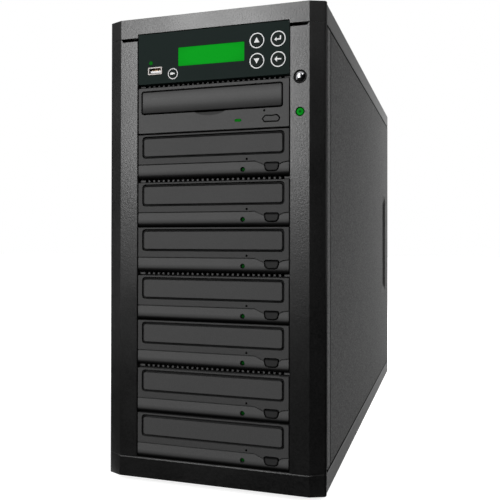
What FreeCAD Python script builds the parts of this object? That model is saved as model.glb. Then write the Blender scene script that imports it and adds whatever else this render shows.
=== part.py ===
import FreeCAD, Part
import math
import os

from FreeCAD import Vector

# A disc duplicator tower: a steel case with a moulded front, one reader drive over a stack of
# writer drives, a control panel, and a power supply and fan at the rear.
# It is modelled with X to the right of the front, Y to the rear from the flat front face and
# Z up from the underside of the case. Export moves the origin to the middle of the footprint,
# on the surface that the feet stand on. All sizes are in millimetres.

# Bays, from the bottom cap upwards
WRITER_COUNT = 7
BAY_PITCH = 42.0
BAY_GAP = 0.15
VENT_H = 3.0
READER_VENT_H = 3.6
READER_GAP = 1.7
BAY_SIDE_GAP = 0.75

# Drives
BEZEL_W = 148.5
READER_EXTRA_H = 0.3
BEZEL_DEPTH = 6.0
BEZEL_SET = 0.3
BEZEL_LAP = 1.25
HOUSING_D = 185.0
HOUSING_WALL = 1.0
HOUSING_DROP = 0.5
HOUSING_LIFT = 0.2
CAGE_GAP = 0.4

# Writer front, measured down from the top of its bezel
SLOT_HALF_W = 70.3
SLOT_TOP = 1.4
SLOT_BOTTOM = 22.1
SLOT_RADIUS = 3.0
DOOR_SIDE_GAP = 1.8
DOOR_TOP = 3.5
DOOR_BOTTOM = 20.3
DOOR_RADIUS = 2.0
DOOR_T = 4.0
LIP_START = 37.7
LIP_BACK = 3.9
SPLIT_DROP = 28.0
SPLIT_W = 1.0
SPLIT_DEPTH = 1.5
SPLIT_LEFT = [(-9.0, 0.0), (-0.5, 3.5)]
SPLIT_RIGHT = [(0.2, 3.5), (3.2, 1.9)]
SPLIT_END_DROP = 0.9
WRITER_LAMP = (30.9, 35.0)
WRITER_LAMP_R = 1.6
WRITER_LAMP_GAP = 0.8
WRITER_PINHOLE = (34.8, 25.7)
PINHOLE_R = 1.1
WRITER_EJECT = [(51.5, 29.9, 1.3), (65.1, 29.9, 1.3), (63.7, 36.7, 2.8), (53.0, 36.7, 2.8)]

# Reader front, measured down from the top of its bezel
READER_DOOR_X = -1.3
READER_DOOR_HALF_W = 68.8
READER_DOOR_TOP = 3.9
READER_DOOR_BOTTOM = 23.7
READER_DOOR_GAP = 1.4
READER_DOOR_RADIUS = 1.2
NOTCH_W = 31.0
NOTCH_DROP = 2.4
NOTCH_DEPTH = 1.8
READER_LAMP = (26.3, 34.8)
READER_LAMP_SIZE = (6.5, 2.3)
READER_LAMP_R = 1.1
READER_PINHOLE = (51.2, 27.2)
READER_EJECT = [(52.4, 31.9, 1.0), (57.8, 32.4, 0), (63.2, 31.9, 1.0), (65.5, 34.4, 0.6),
                (64.2, 37.0, 0.8), (51.4, 37.0, 0.8), (50.0, 34.6, 0.6)]

# Small gaps between a moving or fitted piece and its hole
BUTTON_GAP = 0.3
EJECT_GAP = 0.9
LAMP_GAP = 0.2
LAMP_SET = 1.6
EJECT_PROUD = 0.25
EJECT_STEM = 4.0
EJECT_STEM_W = 4.0

# Disc tray
TRAY_L = 165.0
TRAY_T = 8.0
TRAY_ABOVE_DOOR_FOOT = 1.5
TRAY_CORNER = 6.0
TRAY_RIM = 7.0
TRAY_SIDE = 4.0
DISC_WELL_R = 60.5
DISC_WELL_DEPTH = 4.5
PICKUP_W = 40.0
PICKUP_L = 88.0
PICKUP_R = 14.0
RAIL_W = 3.0
RAIL_T = 3.6
RUNNER_LAP = 4.8
RUNNER_T = 2.0
RUNNER_UP = 3.0
RUNNER_GAP = 0.3
RUNNER_INSET = 6.0

# Moulded front
WALL = 2.4
PILLAR_FLAT_W = 18.2
BEVEL_W = 13.8
BEVEL_D = 4.5
FRONT_DEPTH = 8.0
LEG_DEPTH = 14.0
BOTTOM_CAP_H = 19.0
TOP_CAP_H = 18.1
CAP_OVER_PANEL = 3.0
SEAM = 0.3
SEAM_GROOVE_H = 2.8
SEAM_GROOVE_DEPTH = 5.0
SEAM_GROOVE_SLANT = 2.4
EDGE_R = 0.8
BEVEL_R = 2.0
RIB_T = 2.0
PILLAR_RIBS = 5
PILLAR_RIB_END = 24.0
CAP_RIBS = 6

# Vent strips between the bays
VENT_SET = 4.0
VENT_D = 3.5
VENT_RAIL = 0.45
VENT_BAR_W = 1.8
VENT_BAR_PITCH = 5.0
VENT_END_W = 3.5
VENT_GAP = 0.2

# Control panel, measured from the middle of the front and up from the panel's lower edge
PANEL_H = 47.8
PANEL_SET = 0.5
PANEL_T = 2.8
PANEL_GAP = 0.3
PANEL_SKIRT = 1.5
PANEL_SKIRT_D = 8.0
POST_W = 4.6
POST_INSET = 4.7
LCD_MID = (-0.6, 23.8)
LCD_SIZE = (65.6, 17.5)
LCD_GAP = 0.2
LCD_FLANGE = 1.4
LCD_FLANGE_T = 1.0
LCD_MODULE = (72.0, 19.9)
KEY_R = 5.7
KEY_FLANGE = 0.7
KEY_FLANGE_T = 0.8
KEY_PROUD = 0.6
KEY_STEM_W = 4.0
KEY_TRAVEL_GAP = 0.9
SMALL_KEY_R = 4.0
KEYS = {
    "up_button": (44.2, 32.2, KEY_R),
    "down_button": (44.2, 14.0, KEY_R),
    "enter_button": (64.2, 32.2, KEY_R),
    "back_button": (64.2, 14.0, KEY_R),
    "usb_button": (-38.8, 8.5, SMALL_KEY_R),
}
USB_MID = (-57.0, 12.2)
USB_SIZE = (13.1, 5.7)
USB_WALL = 0.4
USB_RIM = 0.7
USB_RIM_T = 0.5
USB_PROUD = 0.2
USB_TONGUE = (11.1, 1.8)
USB_TONGUE_UP = -0.5
USB_TONGUE_SET = 1.0
PANEL_LAMP = (-61.6, 20.0)
PANEL_LAMP_R = 1.9
BOARD_T = 1.6
BOARD_FRONT = 12.0
BOARD_INSET = 3.0
BOARD_SIDE_GAP = 1.0
SWITCH_W = 6.0
SWITCH_T = 2.2

# Power button and power lamp on the right pillar, by height under the case top
POWER_BUTTON_DROP = 65.9
POWER_LAMP_DROP = 96.6
POWER_FROM_FLAT_EDGE = 8.7
POWER_R = 4.6
POWER_DOME = 1.5
POWER_STEM_R = 2.0
POWER_STEM_END = 11.0
RING_T = 1.3
RING_LIP = 0.6
RING_PROUD = 0.6
RING_DEPTH = 3.6
POWER_LAMP_R = 3.4
POWER_LAMP_GAP = 0.7
POWER_LAMP_PROUD = 0.5
POWER_LAMP_FLANGE = 1.3
POWER_LAMP_FLANGE_T = 1.2

# Sheet steel case
CASE_D = 460.0
SHEET = 1.2
BEND_R = 0.8
STRIP_H = 18.6
JOGGLE = 2.8
FLANGE_H = 8.4
SHEET_GAP = 0.3
FRONT_FLANGE_H = 15.0
PANEL_EDGE = 0.4
PANEL_REAR_FLANGE = 16.0
GROOVE_FROM_FRONT = 13.0
GROOVE_W = 1.0
GROOVE_DEPTH = 0.6
RECESS_SIZE = (33.0, 152.0)
RECESS_FLOOR = (23.0, 112.0)
RECESS_DEPTH = 8.0
RECESS_FROM_REAR = 52.0
RECESS_R = 5.0
REAR_LIP = 10.0
CAGE_D = 182.0
CAGE_FLANGE_END = 4.5
CAGE_FOOT_W = 14.0
CAGE_WINDOW = (80.0, 100.0)
CAGE_WINDOWS = 3

# Rear: power supply, fans, mains module and thumb screws
PSU_SIZE = (150.0, 140.0, 86.0)
PSU_UP = 10.0
PSU_WALL = 1.0
PSU_FACE_BORDER = 5.0
PSU_FAN_X = -30.0
PSU_FAN_SIZE = 80.0
PSU_VENTS = 7
CASE_FAN_SIZE = 120.0
CASE_FAN_UP = 300.0
FAN_D = 25.0
FAN_WALL = 3.0
FAN_TIP_GAP = 1.2
FAN_STRUT_W = 6.0
FAN_STRUT_T = 3.0
FAN_HUB_SHARE_GAP = 0.4
FAN_BLADES = 7
BLADE_T = 1.2
BLADE_ROOT_TILT = 46.0
BLADE_TIP_TILT = 34.0
BLADE_H = 15.0
GRILLE_SLOT = 6.0
GRILLE_BAR = 3.6
GRILLE_SPINE = 5.0
REAR_VENT = (64.0, 3.2)
REAR_VENT_PITCH = 7.0
REAR_VENT_ROWS = 7
REAR_VENT_UP = 130.0
MODULE_X = 48.0
MODULE_SIZE = (31.0, 58.0)
MODULE_BODY = (27.4, 50.0)
MODULE_FLANGE_T = 2.0
MODULE_DEPTH = 22.0
MODULE_GAP = 0.3
SOCKET_DROP = 12.0
SOCKET_SIZE = (23.0, 15.5)
SOCKET_CHAMFER = 4.6
SOCKET_DEPTH = 17.0
PIN_SIZE = (2.0, 4.0)
PIN_L = 14.5
PIN_SPREAD = 7.0
PIN_DROP = 2.0
EARTH_RISE = 2.0
ROCKER_RISE = 14.5
ROCKER_SIZE = (12.4, 18.4)
ROCKER_TILT = 8.0
ROCKER_RISE_END = 3.0
ROCKER_DIP = 1.2
ROCKER_KEEL = 5.0
ROCKER_HOLE_GAP = 0.7
ROCKER_WELL = 9.0
ROCKER_PIVOT_IN = 0.3
ROCKER_PIN_R = 1.2
ROCKER_PIN_L = 1.4
ROCKER_PIN_GAP = 0.1
SCREW_INSET = 9.5
SCREW_FROM_END = 46.0
SCREW_HEAD_R = 6.0
SCREW_HEAD_T = 7.0
SCREW_R = 2.0
SCREW_L = 9.0
SCREW_GAP = 0.2

# Small roundings and small or hidden round forms are drawn in few steps, because they repeat often
ROUND_STEPS = 2
PIN_SIDES = 8
KNOB_SIDES = 12
SHARP_JOIN = 2

# How far a form that cuts a hole reaches past the faces that it opens
OVERCUT = 1.0

# Feet
FOOT_H = 6.0
FOOT_R = 11.0
FOOT_SIDE_INSET = 22.0
FOOT_END_INSET = 40.0

# Sizes that follow from those above
BEZEL_H = BAY_PITCH - 2 * BAY_GAP
READER_BEZEL_H = BAY_PITCH + READER_EXTRA_H
HOUSING_W = BEZEL_W - 2 * BEZEL_LAP
HOUSING_H = BEZEL_H - HOUSING_DROP - HOUSING_LIFT
TRAY_W = 2 * (DISC_WELL_R + TRAY_SIDE)
OPEN_HALF = BEZEL_W / 2 + BAY_SIDE_GAP
FLAT_HALF = OPEN_HALF + PILLAR_FLAT_W
CASE_HALF = FLAT_HALF + BEVEL_W
BEZEL_BACK = BEZEL_SET + BEZEL_DEPTH
DOOR_BACK = BEZEL_SET + DOOR_T
PANEL_BACK = PANEL_SET + PANEL_T
PANEL_HALF = OPEN_HALF - PANEL_GAP
STEEL_FRONT = FRONT_DEPTH + SHEET_GAP
PANEL_REAR = CASE_D
REAR_OUT = PANEL_REAR - SHEET - SHEET_GAP
REAR_IN = REAR_OUT - SHEET
JOGGLE_X = CASE_HALF - JOGGLE
CAGE_X = HOUSING_W / 2 + CAGE_GAP
POWER_X = FLAT_HALF - POWER_FROM_FLAT_EDGE
SCREW_TIP = PANEL_REAR + SCREW_HEAD_T


def stack_bays():
    """Tops of the drive bezels, feet of the vent strips and foot of the panel, from the bottom cap up."""
    level = BOTTOM_CAP_H
    tops = {}
    vents = []
    for number in range(WRITER_COUNT, 0, -1):
        level += BAY_PITCH
        tops["writer_%d" % number] = level - BAY_GAP
        if number % 2 == 0:
            vents.append((level, VENT_H))
            level += VENT_H
    level += READER_GAP + READER_BEZEL_H
    tops["reader"] = level
    vents.append((level, READER_VENT_H))
    return tops, vents, level + READER_VENT_H


DRIVE_TOPS, VENTS, PANEL_FOOT = stack_bays()
PANEL_TOP = PANEL_FOOT + PANEL_H
CAP_FOOT = PANEL_TOP - CAP_OVER_PANEL
CASE_H = CAP_FOOT + TOP_CAP_H
PILLAR_FOOT = BOTTOM_CAP_H + SEAM
PILLAR_TOP = CAP_FOOT - SEAM
POWER_Z = CASE_H - POWER_BUTTON_DROP
POWER_LAMP_Z = CASE_H - POWER_LAMP_DROP
PSU_MID_Z = PSU_UP + PSU_SIZE[2] / 2
SOCKET_Z = PSU_MID_Z - SOCKET_DROP
ROCKER_Z = PSU_MID_Z + ROCKER_RISE
ROCKER_Y = REAR_IN + MODULE_FLANGE_T - ROCKER_PIVOT_IN


# Outlines and basic forms

def in_xz(y):
    """Places an outline's (u, v) as X and Z on a plane across the depth."""
    return lambda p: Vector(p.x, y, p.y)


def in_xy(z):
    """Places an outline's (u, v) as X and Y on a level plane."""
    return lambda p: Vector(p.x, p.y, z)


def in_yz(x):
    """Places an outline's (u, v) as Y and Z on a plane across the width."""
    return lambda p: Vector(x, p.x, p.y)


def outline(corners, place):
    """Closed wire through (u, v, radius) corners, each eased by its radius."""
    points = []
    for i, (u, v, radius) in enumerate(corners):
        corner = Vector(u, v, 0)
        back = Vector(*corners[i - 1][:2], 0).sub(corner).normalize()
        ahead = Vector(*corners[(i + 1) % len(corners)][:2], 0).sub(corner).normalize()
        points.extend(round_corner(corner, back, ahead, radius))
    return Part.makePolygon([place(point) for point in points + points[:1]])


def round_corner(corner, back, ahead, radius):
    """Points of a corner between two directions, rounded by a radius in a few straight steps."""
    if radius == 0:
        return [corner]
    half = back.getAngle(ahead) / 2
    inward = back.add(ahead).normalize()
    centre = corner + inward * (radius / math.sin(half))
    points = []
    for step in range(ROUND_STEPS + 1):
        turn = (math.pi / 2 - half) * (2 * step / ROUND_STEPS - 1)
        side = ahead.sub(back).normalize()
        points.append(centre - inward * (radius * math.cos(turn)) + side * (radius * math.sin(turn)))
    return points


def plate_xz(corners, y0, y1):
    """Plate with an outline seen from the front, from depth y0 to y1."""
    return Part.Face(outline(corners, in_xz(y0))).extrude(Vector(0, y1 - y0, 0))


def plate_xy(corners, z0, z1):
    """Plate with an outline seen from above, from height z0 to z1."""
    return Part.Face(outline(corners, in_xy(z0))).extrude(Vector(0, 0, z1 - z0))


def plate_yz(corners, x0, x1):
    """Plate with an outline seen from the side, from x0 to x1."""
    return Part.Face(outline(corners, in_yz(x0))).extrude(Vector(x1 - x0, 0, 0))


def oblong(u, v, width, height, radius):
    """Corners of a rectangle about (u, v), all rounded alike."""
    half_w, half_h = width / 2, height / 2
    return [(u - half_w, v - half_h, radius), (u + half_w, v - half_h, radius),
            (u + half_w, v + half_h, radius), (u - half_w, v + half_h, radius)]


def block(x0, x1, y0, y1, z0, z1):
    """Plain box between two corners."""
    return Part.makeBox(x1 - x0, y1 - y0, z1 - z0, Vector(x0, y0, z0))


def rod_y(radius, y0, y1, x, z):
    """Round bar along the depth."""
    return Part.makeCylinder(radius, y1 - y0, Vector(x, y0, z), Vector(0, 1, 0))


def regular(u, v, radius, sides):
    """Corners of a regular polygon about (u, v)."""
    corners = []
    for i in range(sides):
        angle = 2 * math.pi * i / sides
        corners.append((u + radius * math.cos(angle), v + radius * math.sin(angle), 0))
    return corners


def pin_y(radius, y0, y1, x, z):
    """Small or hidden bar along the depth, with few sides."""
    return plate_xz(regular(x, z, radius, PIN_SIDES), y0, y1)


def turned(profile, x, z, domed=False):
    """Turns (radius, depth) points about an axis along the depth; a dome rounds off the first stretch."""
    points = [Vector(x + radius, depth, z) for radius, depth in profile]
    edges = []
    for i, point in enumerate(points):
        following = points[(i + 1) % len(points)]
        if domed and i == 0:
            edges.append(dome_edge(profile[0][1], profile[1], x, z))
        else:
            edges.append(Part.LineSegment(point, following).toShape())
    face = Part.Face(Part.Wire(edges))
    return face.revolve(Vector(x, 0, z), Vector(0, 1, 0), 360)


def dome_edge(tip, rim, x, z):
    """Arc from a dome's tip on the axis to its rim, a (radius, depth) point."""
    rise = rim[1] - tip
    sphere = (rim[0] ** 2 + rise ** 2) / (2 * abs(rise)) * math.copysign(1, rise)
    half = math.asin(rim[0] / abs(sphere)) / 2
    mid = Vector(x + abs(sphere) * math.sin(half), tip + sphere * (1 - math.cos(half)), z)
    return Part.Arc(Vector(x, tip, z), mid, Vector(x + rim[0], rim[1], z)).toShape()


def sheet_section(path, radius=BEND_R):
    """Corners of a bent sheet's section: the path's outer side, then back, one sheet to its left."""
    outer, inner = [], []
    for i, point in enumerate(path):
        here = Vector(*point, 0)
        before = here.sub(Vector(*path[max(i - 1, 0)], 0))
        after = Vector(*path[min(i + 1, len(path) - 1)], 0).sub(here)
        before = (before if i > 0 else after).normalize()
        after = (after if i < len(path) - 1 else before).normalize()
        turn = before.cross(after).z
        left = Vector(-before.y - after.y, before.x + after.x, 0)
        moved = here + left * (SHEET / (1 + before.dot(after)))
        bend = radius if abs(turn) > 1e-9 else 0
        outer.append((here.x, here.y, bend + SHEET if turn > 1e-9 else bend))
        inner.append((moved.x, moved.y, bend + SHEET if turn < -1e-9 else bend))
    return outer + inner[::-1]


def mirror_x(shape):
    """The same piece on the other side of the tower."""
    return shape.mirror(Vector(0, 0, 0), Vector(1, 0, 0))


def from_top(top, corners):
    """Corners measured down from a bezel's top, as corners at their heights."""
    return [(u, top - drop, radius) for u, drop, radius in corners]


def grown(corners, gap):
    """Corners of a hole around a rounded outline, a gap wider all round."""
    wire = outline(corners, in_xz(0)).makeOffset2D(gap, join=SHARP_JOIN)
    return Part.Face(wire)


def hole_xz(corners, gap, y0, y1):
    """Solid to cut away for a hole that clears an outline by a gap."""
    face = grown(corners, gap)
    face.translate(Vector(0, y0, 0))
    return face.extrude(Vector(0, y1 - y0, 0))


# Moulded front

def front_corners(wall, back):
    """Plan of the front's flat face, bevels and side returns, taken in by a wall, open behind."""
    angle = math.atan2(BEVEL_D, BEVEL_W)
    flat_x = FLAT_HALF - wall * math.tan(angle / 2)
    bevel_y = BEVEL_D + wall * (1 - math.sin(angle)) / math.cos(angle)
    side_x = CASE_HALF - wall
    right = [(flat_x, wall, BEVEL_R), (side_x, bevel_y, BEVEL_R), (side_x, back, 0)]
    left = [(-x, y, radius) for x, y, radius in reversed(right)]
    return left + right


def cap_ribs(z0, z1):
    """Upright ribs spread along the inside of a cap."""
    pitch = 2 * FLAT_HALF / (CAP_RIBS + 1)
    ribs = []
    for i in range(CAP_RIBS):
        x = -FLAT_HALF + pitch * (i + 1)
        ribs.append(block(x - RIB_T / 2, x + RIB_T / 2, WALL, FRONT_DEPTH, z0, z1))
    return ribs


def top_cap():
    """Top cap of the front, notched for the control panel."""
    shell = plate_xy(front_corners(0, FRONT_DEPTH), CAP_FOOT, CASE_H)
    hollow = plate_xy(front_corners(WALL, FRONT_DEPTH + WALL), CAP_FOOT - WALL, CASE_H - WALL)
    shell = shell.cut(hollow).fuse(cap_ribs(PANEL_TOP + WALL, CASE_H - WALL))
    notch_half = PANEL_HALF + PANEL_GAP
    notch = block(-notch_half, notch_half, -WALL, FRONT_DEPTH + WALL,
                  CAP_FOOT - WALL, PANEL_TOP + PANEL_GAP)
    return shell.cut(notch).removeSplitter()


def bottom_cap():
    """Bottom cap of the front, closed above and below, with an eased upper edge."""
    shell = plate_xy(front_corners(0, FRONT_DEPTH), 0, BOTTOM_CAP_H)
    hollow = plate_xy(front_corners(WALL, FRONT_DEPTH + WALL), WALL, BOTTOM_CAP_H - WALL)
    shell = shell.cut(hollow).fuse(cap_ribs(WALL, BOTTOM_CAP_H - WALL)).removeSplitter()
    front_edges = [edge for edge in shell.Edges
                   if edge.BoundBox.ZMin > BOTTOM_CAP_H - 1e-6 and edge.BoundBox.YMax < 1e-6]
    return shell.makeChamfer(EDGE_R, front_edges)


def pillar_section():
    """Plan of the right pillar: flat, bevel, side return and the leg beside the bays."""
    angle = math.atan2(BEVEL_D, BEVEL_W)
    bevel_y = BEVEL_D + WALL * (1 - math.sin(angle)) / math.cos(angle)
    flat_x = FLAT_HALF - WALL * math.tan(angle / 2)
    return [(OPEN_HALF, 0, EDGE_R), (FLAT_HALF, 0, BEVEL_R), (CASE_HALF, BEVEL_D, BEVEL_R),
            (CASE_HALF, FRONT_DEPTH, 0), (CASE_HALF - WALL, FRONT_DEPTH, 0),
            (CASE_HALF - WALL, bevel_y, 0), (flat_x, WALL, 0), (OPEN_HALF + WALL, WALL, 0),
            (OPEN_HALF + WALL, LEG_DEPTH, 0), (OPEN_HALF, LEG_DEPTH, 0)]


def pillar_rib(z):
    """Level rib between the pillar's leg and its side return."""
    corners = [(OPEN_HALF + WALL / 2, WALL / 2, 0), (FLAT_HALF, WALL / 2, 0),
               (CASE_HALF - WALL / 2, FRONT_DEPTH - WALL / 2, 0), (CASE_HALF - WALL / 2, FRONT_DEPTH, 0),
               (OPEN_HALF + WALL / 2, LEG_DEPTH, 0)]
    return plate_xy(corners, z - RIB_T / 2, z + RIB_T / 2)


def pillar():
    """Right pillar with its ribs and the slant-ended groove under the top cap."""
    shape = plate_xy(pillar_section(), PILLAR_FOOT, PILLAR_TOP)
    low = PILLAR_FOOT + PILLAR_RIB_END
    span = POWER_LAMP_Z - PILLAR_RIB_END - low
    ribs = [pillar_rib(low + span * i / (PILLAR_RIBS - 1)) for i in range(PILLAR_RIBS)]
    shape = shape.fuse(ribs)
    groove_foot = PILLAR_TOP - SEAM_GROOVE_H
    groove = plate_xz([(OPEN_HALF - WALL, groove_foot, 0), (FLAT_HALF - SEAM_GROOVE_SLANT, groove_foot, 0),
                       (FLAT_HALF, PILLAR_TOP + SEAM, 0), (OPEN_HALF - WALL, PILLAR_TOP + SEAM, 0)],
                      -WALL, SEAM_GROOVE_DEPTH)
    return shape.cut(groove).removeSplitter()


def right_pillar():
    """Right pillar with the holes for the power button's ring and the power lamp."""
    ring_hole = rod_y(ring_sleeve_r() + LAMP_GAP, -WALL, 2 * WALL, POWER_X, POWER_Z)
    lamp_hole = rod_y(POWER_LAMP_R + POWER_LAMP_GAP, -WALL, 2 * WALL, POWER_X, POWER_LAMP_Z)
    return pillar().cut([ring_hole, lamp_hole])


def vent_strip(foot, height):
    """Slotted strip across the bays: upright bars on a lower rail, with wider ends."""
    z0 = foot + VENT_GAP
    z1 = foot + height - VENT_GAP
    half = OPEN_HALF - VENT_GAP
    back = VENT_SET + VENT_D
    strip = block(-half, half, VENT_SET, back, z0, z1)
    slots_w = 2 * (half - VENT_END_W)
    count = int(slots_w // VENT_BAR_PITCH)
    slot_w = VENT_BAR_PITCH - VENT_BAR_W
    first = -VENT_BAR_PITCH * (count - 1) / 2
    slots = []
    for i in range(count):
        x = first + VENT_BAR_PITCH * i
        slots.append(block(x - slot_w / 2, x + slot_w / 2, 0, back + VENT_SET,
                           z0 + VENT_RAIL, z1 + VENT_RAIL))
    return strip.cut(Part.makeCompound(slots))


# Drives

def writer_section(top, set_back):
    """Side view of a writer bezel: upright face, then a lower lip that curves back."""
    front = BEZEL_SET + set_back
    lip_h = BEZEL_H - LIP_START
    radius = (lip_h ** 2 + LIP_BACK ** 2) / (2 * LIP_BACK)
    half = math.asin(lip_h / radius) / 2
    start = Vector(0, front, top - LIP_START)
    mid = Vector(0, front + radius * (1 - math.cos(half)), start.z - radius * math.sin(half))
    end = Vector(0, front + LIP_BACK, top - BEZEL_H)
    back_foot = Vector(0, BEZEL_BACK + set_back, end.z)
    back_top = Vector(0, BEZEL_BACK + set_back, top)
    front_top = Vector(0, front, top)
    edges = [Part.Arc(start, mid, end).toShape()]
    for a, b in ((end, back_foot), (back_foot, back_top), (back_top, front_top), (front_top, start)):
        edges.append(Part.LineSegment(a, b).toShape())
    return Part.Face(Part.Wire(edges))


def writer_slab(top, set_back=0.0):
    """Writer bezel before its holes; set back, it leaves a thin skin of the front."""
    face = writer_section(top, set_back)
    face.translate(Vector(-BEZEL_W / 2, 0, 0))
    return face.extrude(Vector(BEZEL_W, 0, 0))


def split_line(top):
    """Groove between the writer's bezel and its lower trim, dipping to the eject button on both sides."""
    edge = BEZEL_W / 2 + SPLIT_W
    left = [(-edge, 0.0)] + [(WRITER_EJECT[0][0] + u, drop) for u, drop in SPLIT_LEFT]
    right = [(WRITER_EJECT[1][0] + u, drop) for u, drop in SPLIT_RIGHT] + [(edge, SPLIT_END_DROP)]
    grooves = []
    for path in (left, right):
        upper = [(u, SPLIT_DROP + drop - SPLIT_W / 2, 0) for u, drop in path]
        lower = [(u, SPLIT_DROP + drop + SPLIT_W / 2, 0) for u, drop in reversed(path)]
        grooves.append(plate_xz(from_top(top, upper + lower), -BEZEL_SET, BEZEL_BACK))
    skin = writer_slab(top).cut(writer_slab(top, SPLIT_DEPTH))
    return skin.common(Part.makeCompound(grooves))


def writer_bezel(top):
    """Writer front: door slot, lamp hole, pinhole, eject hole and the split line."""
    slot_mid = top - (SLOT_TOP + SLOT_BOTTOM) / 2
    slot_corners = oblong(0, slot_mid, 2 * SLOT_HALF_W, SLOT_BOTTOM - SLOT_TOP, SLOT_RADIUS)
    slot = plate_xz(slot_corners, -OVERCUT, BEZEL_BACK + OVERCUT)
    lamp = pin_y(WRITER_LAMP_R + WRITER_LAMP_GAP, -OVERCUT, BEZEL_BACK + OVERCUT,
                 WRITER_LAMP[0], top - WRITER_LAMP[1])
    pinhole = pin_y(PINHOLE_R, -OVERCUT, BEZEL_BACK + OVERCUT, WRITER_PINHOLE[0], top - WRITER_PINHOLE[1])
    eject = hole_xz(from_top(top, WRITER_EJECT), EJECT_GAP, -OVERCUT, BEZEL_BACK + OVERCUT)
    return writer_slab(top).cut([slot, lamp, pinhole, eject, split_line(top)])


def reader_bezel(top):
    """Reader front: flat plate with a close-fitting door, a finger notch and an oblong lamp."""
    mid = top - READER_BEZEL_H / 2
    slab = plate_xz(oblong(0, mid, BEZEL_W, READER_BEZEL_H, EDGE_R), BEZEL_SET, BEZEL_BACK)
    door = hole_xz(reader_door_corners(top), READER_DOOR_GAP, -OVERCUT, BEZEL_BACK + OVERCUT)
    notch_r = ((NOTCH_W / 2) ** 2 + NOTCH_DROP ** 2) / (2 * NOTCH_DROP)
    notch_z = top - READER_DOOR_BOTTOM - READER_DOOR_GAP - NOTCH_DROP + notch_r
    notch = rod_y(notch_r, -OVERCUT, BEZEL_SET + NOTCH_DEPTH, READER_DOOR_X, notch_z)
    below_door = block(-OPEN_HALF, OPEN_HALF, -OVERCUT, BEZEL_BACK,
                       top - READER_BEZEL_H, top - READER_DOOR_BOTTOM)
    lamp = hole_xz(reader_lamp_corners(top), LAMP_GAP, -OVERCUT, BEZEL_BACK + OVERCUT)
    pinhole = pin_y(PINHOLE_R, -OVERCUT, BEZEL_BACK + OVERCUT, READER_PINHOLE[0], top - READER_PINHOLE[1])
    eject = hole_xz(from_top(top, READER_EJECT), EJECT_GAP, -OVERCUT, BEZEL_BACK + OVERCUT)
    return slab.cut([door, notch.common(below_door), lamp, pinhole, eject])


def reader_door_corners(top):
    """Outline of the reader's tray door."""
    mid = top - (READER_DOOR_TOP + READER_DOOR_BOTTOM) / 2
    height = READER_DOOR_BOTTOM - READER_DOOR_TOP
    return oblong(READER_DOOR_X, mid, 2 * READER_DOOR_HALF_W, height, READER_DOOR_RADIUS)


def reader_lamp_corners(top):
    """Outline of the reader's oblong lamp."""
    return oblong(READER_LAMP[0], top - READER_LAMP[1], *READER_LAMP_SIZE, READER_LAMP_R)


def writer_door_corners(top):
    """Outline of a writer's tray door."""
    mid = top - (DOOR_TOP + DOOR_BOTTOM) / 2
    return oblong(0, mid, 2 * (SLOT_HALF_W - DOOR_SIDE_GAP), DOOR_BOTTOM - DOOR_TOP, DOOR_RADIUS)


def tray_door(corners):
    """Tray door, a rounded plate."""
    return plate_xz(corners, BEZEL_SET, DOOR_BACK)


def eject_button(corners):
    """Eject button with a stem that reaches into the drive."""
    cap = plate_xz(corners, BEZEL_SET - EJECT_PROUD, BEZEL_BACK)
    box = cap.BoundBox
    stem = oblong(box.Center.x, box.Center.z, EJECT_STEM_W, box.ZLength / 2, 0)
    return cap.fuse(plate_xz(stem, BEZEL_BACK, BEZEL_BACK + EJECT_STEM))


def tray_foot(top, door_bottom):
    """Height of a tray's underside."""
    return top - door_bottom + TRAY_ABOVE_DOOR_FOOT


def disc_tray(foot):
    """Disc tray: stepped side rails, the disc's well and the pickup's slot, eased about its middle."""
    half = TRAY_W / 2
    back = DOOR_BACK + TRAY_L
    deck = foot + TRAY_T
    tray = plate_xy([(-half, DOOR_BACK, 0), (half, DOOR_BACK, 0), (half, back - TRAY_CORNER, 0),
                     (half - TRAY_CORNER, back, 0), (TRAY_CORNER - half, back, 0),
                     (-half, back - TRAY_CORNER, 0)], foot, deck)
    mid_y = DOOR_BACK + TRAY_RIM + DISC_WELL_R
    up = Vector(0, 0, 1)
    well = Part.makeCylinder(DISC_WELL_R, TRAY_T, Vector(0, mid_y, deck - DISC_WELL_DEPTH), up)
    slot_half = PICKUP_W / 2
    slot_start = mid_y - slot_half
    slot_end = slot_start + PICKUP_L
    slot = plate_xy([(-slot_half, slot_start, PICKUP_R), (slot_half, slot_start, PICKUP_R),
                     (slot_half, slot_end, 0), (-slot_half, slot_end, 0)], foot - TRAY_T, deck + TRAY_T)
    cuts = [well, slot]
    for x in (-half, half):
        cuts.append(block(x - RAIL_W, x + RAIL_W, DOOR_BACK - RAIL_W, back + RAIL_W,
                          foot + RAIL_T, deck + RAIL_T))
    return tray.cut(cuts)


def drive_housing(top, foot):
    """Sheet housing of a drive, open in front, with a runner along each side for the tray."""
    half = HOUSING_W / 2
    z1 = top - HOUSING_DROP
    z0 = z1 - HOUSING_H
    back = BEZEL_BACK + HOUSING_D
    shell = block(-half, half, BEZEL_BACK, back, z0, z1)
    inner = half - HOUSING_WALL
    shell = shell.cut(block(-inner, inner, BEZEL_BACK - OVERCUT, back - HOUSING_WALL,
                            z0 + HOUSING_WALL, z1 - HOUSING_WALL))
    guide_x = TRAY_W / 2 + RUNNER_GAP
    ledge = foot - RUNNER_GAP
    ledge_x = guide_x - RUNNER_LAP
    wall_x = half - HOUSING_WALL / 2
    corners = [(ledge_x, ledge - RUNNER_T, 0), (wall_x, ledge - RUNNER_T, 0), (wall_x, foot + RUNNER_UP, 0),
               (guide_x, foot + RUNNER_UP, 0), (guide_x, ledge, 0), (ledge_x, ledge, 0)]
    runner = plate_xz(corners, BEZEL_BACK + RUNNER_INSET, back - HOUSING_WALL)
    return shell.fuse([runner, mirror_x(runner)])


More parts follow.
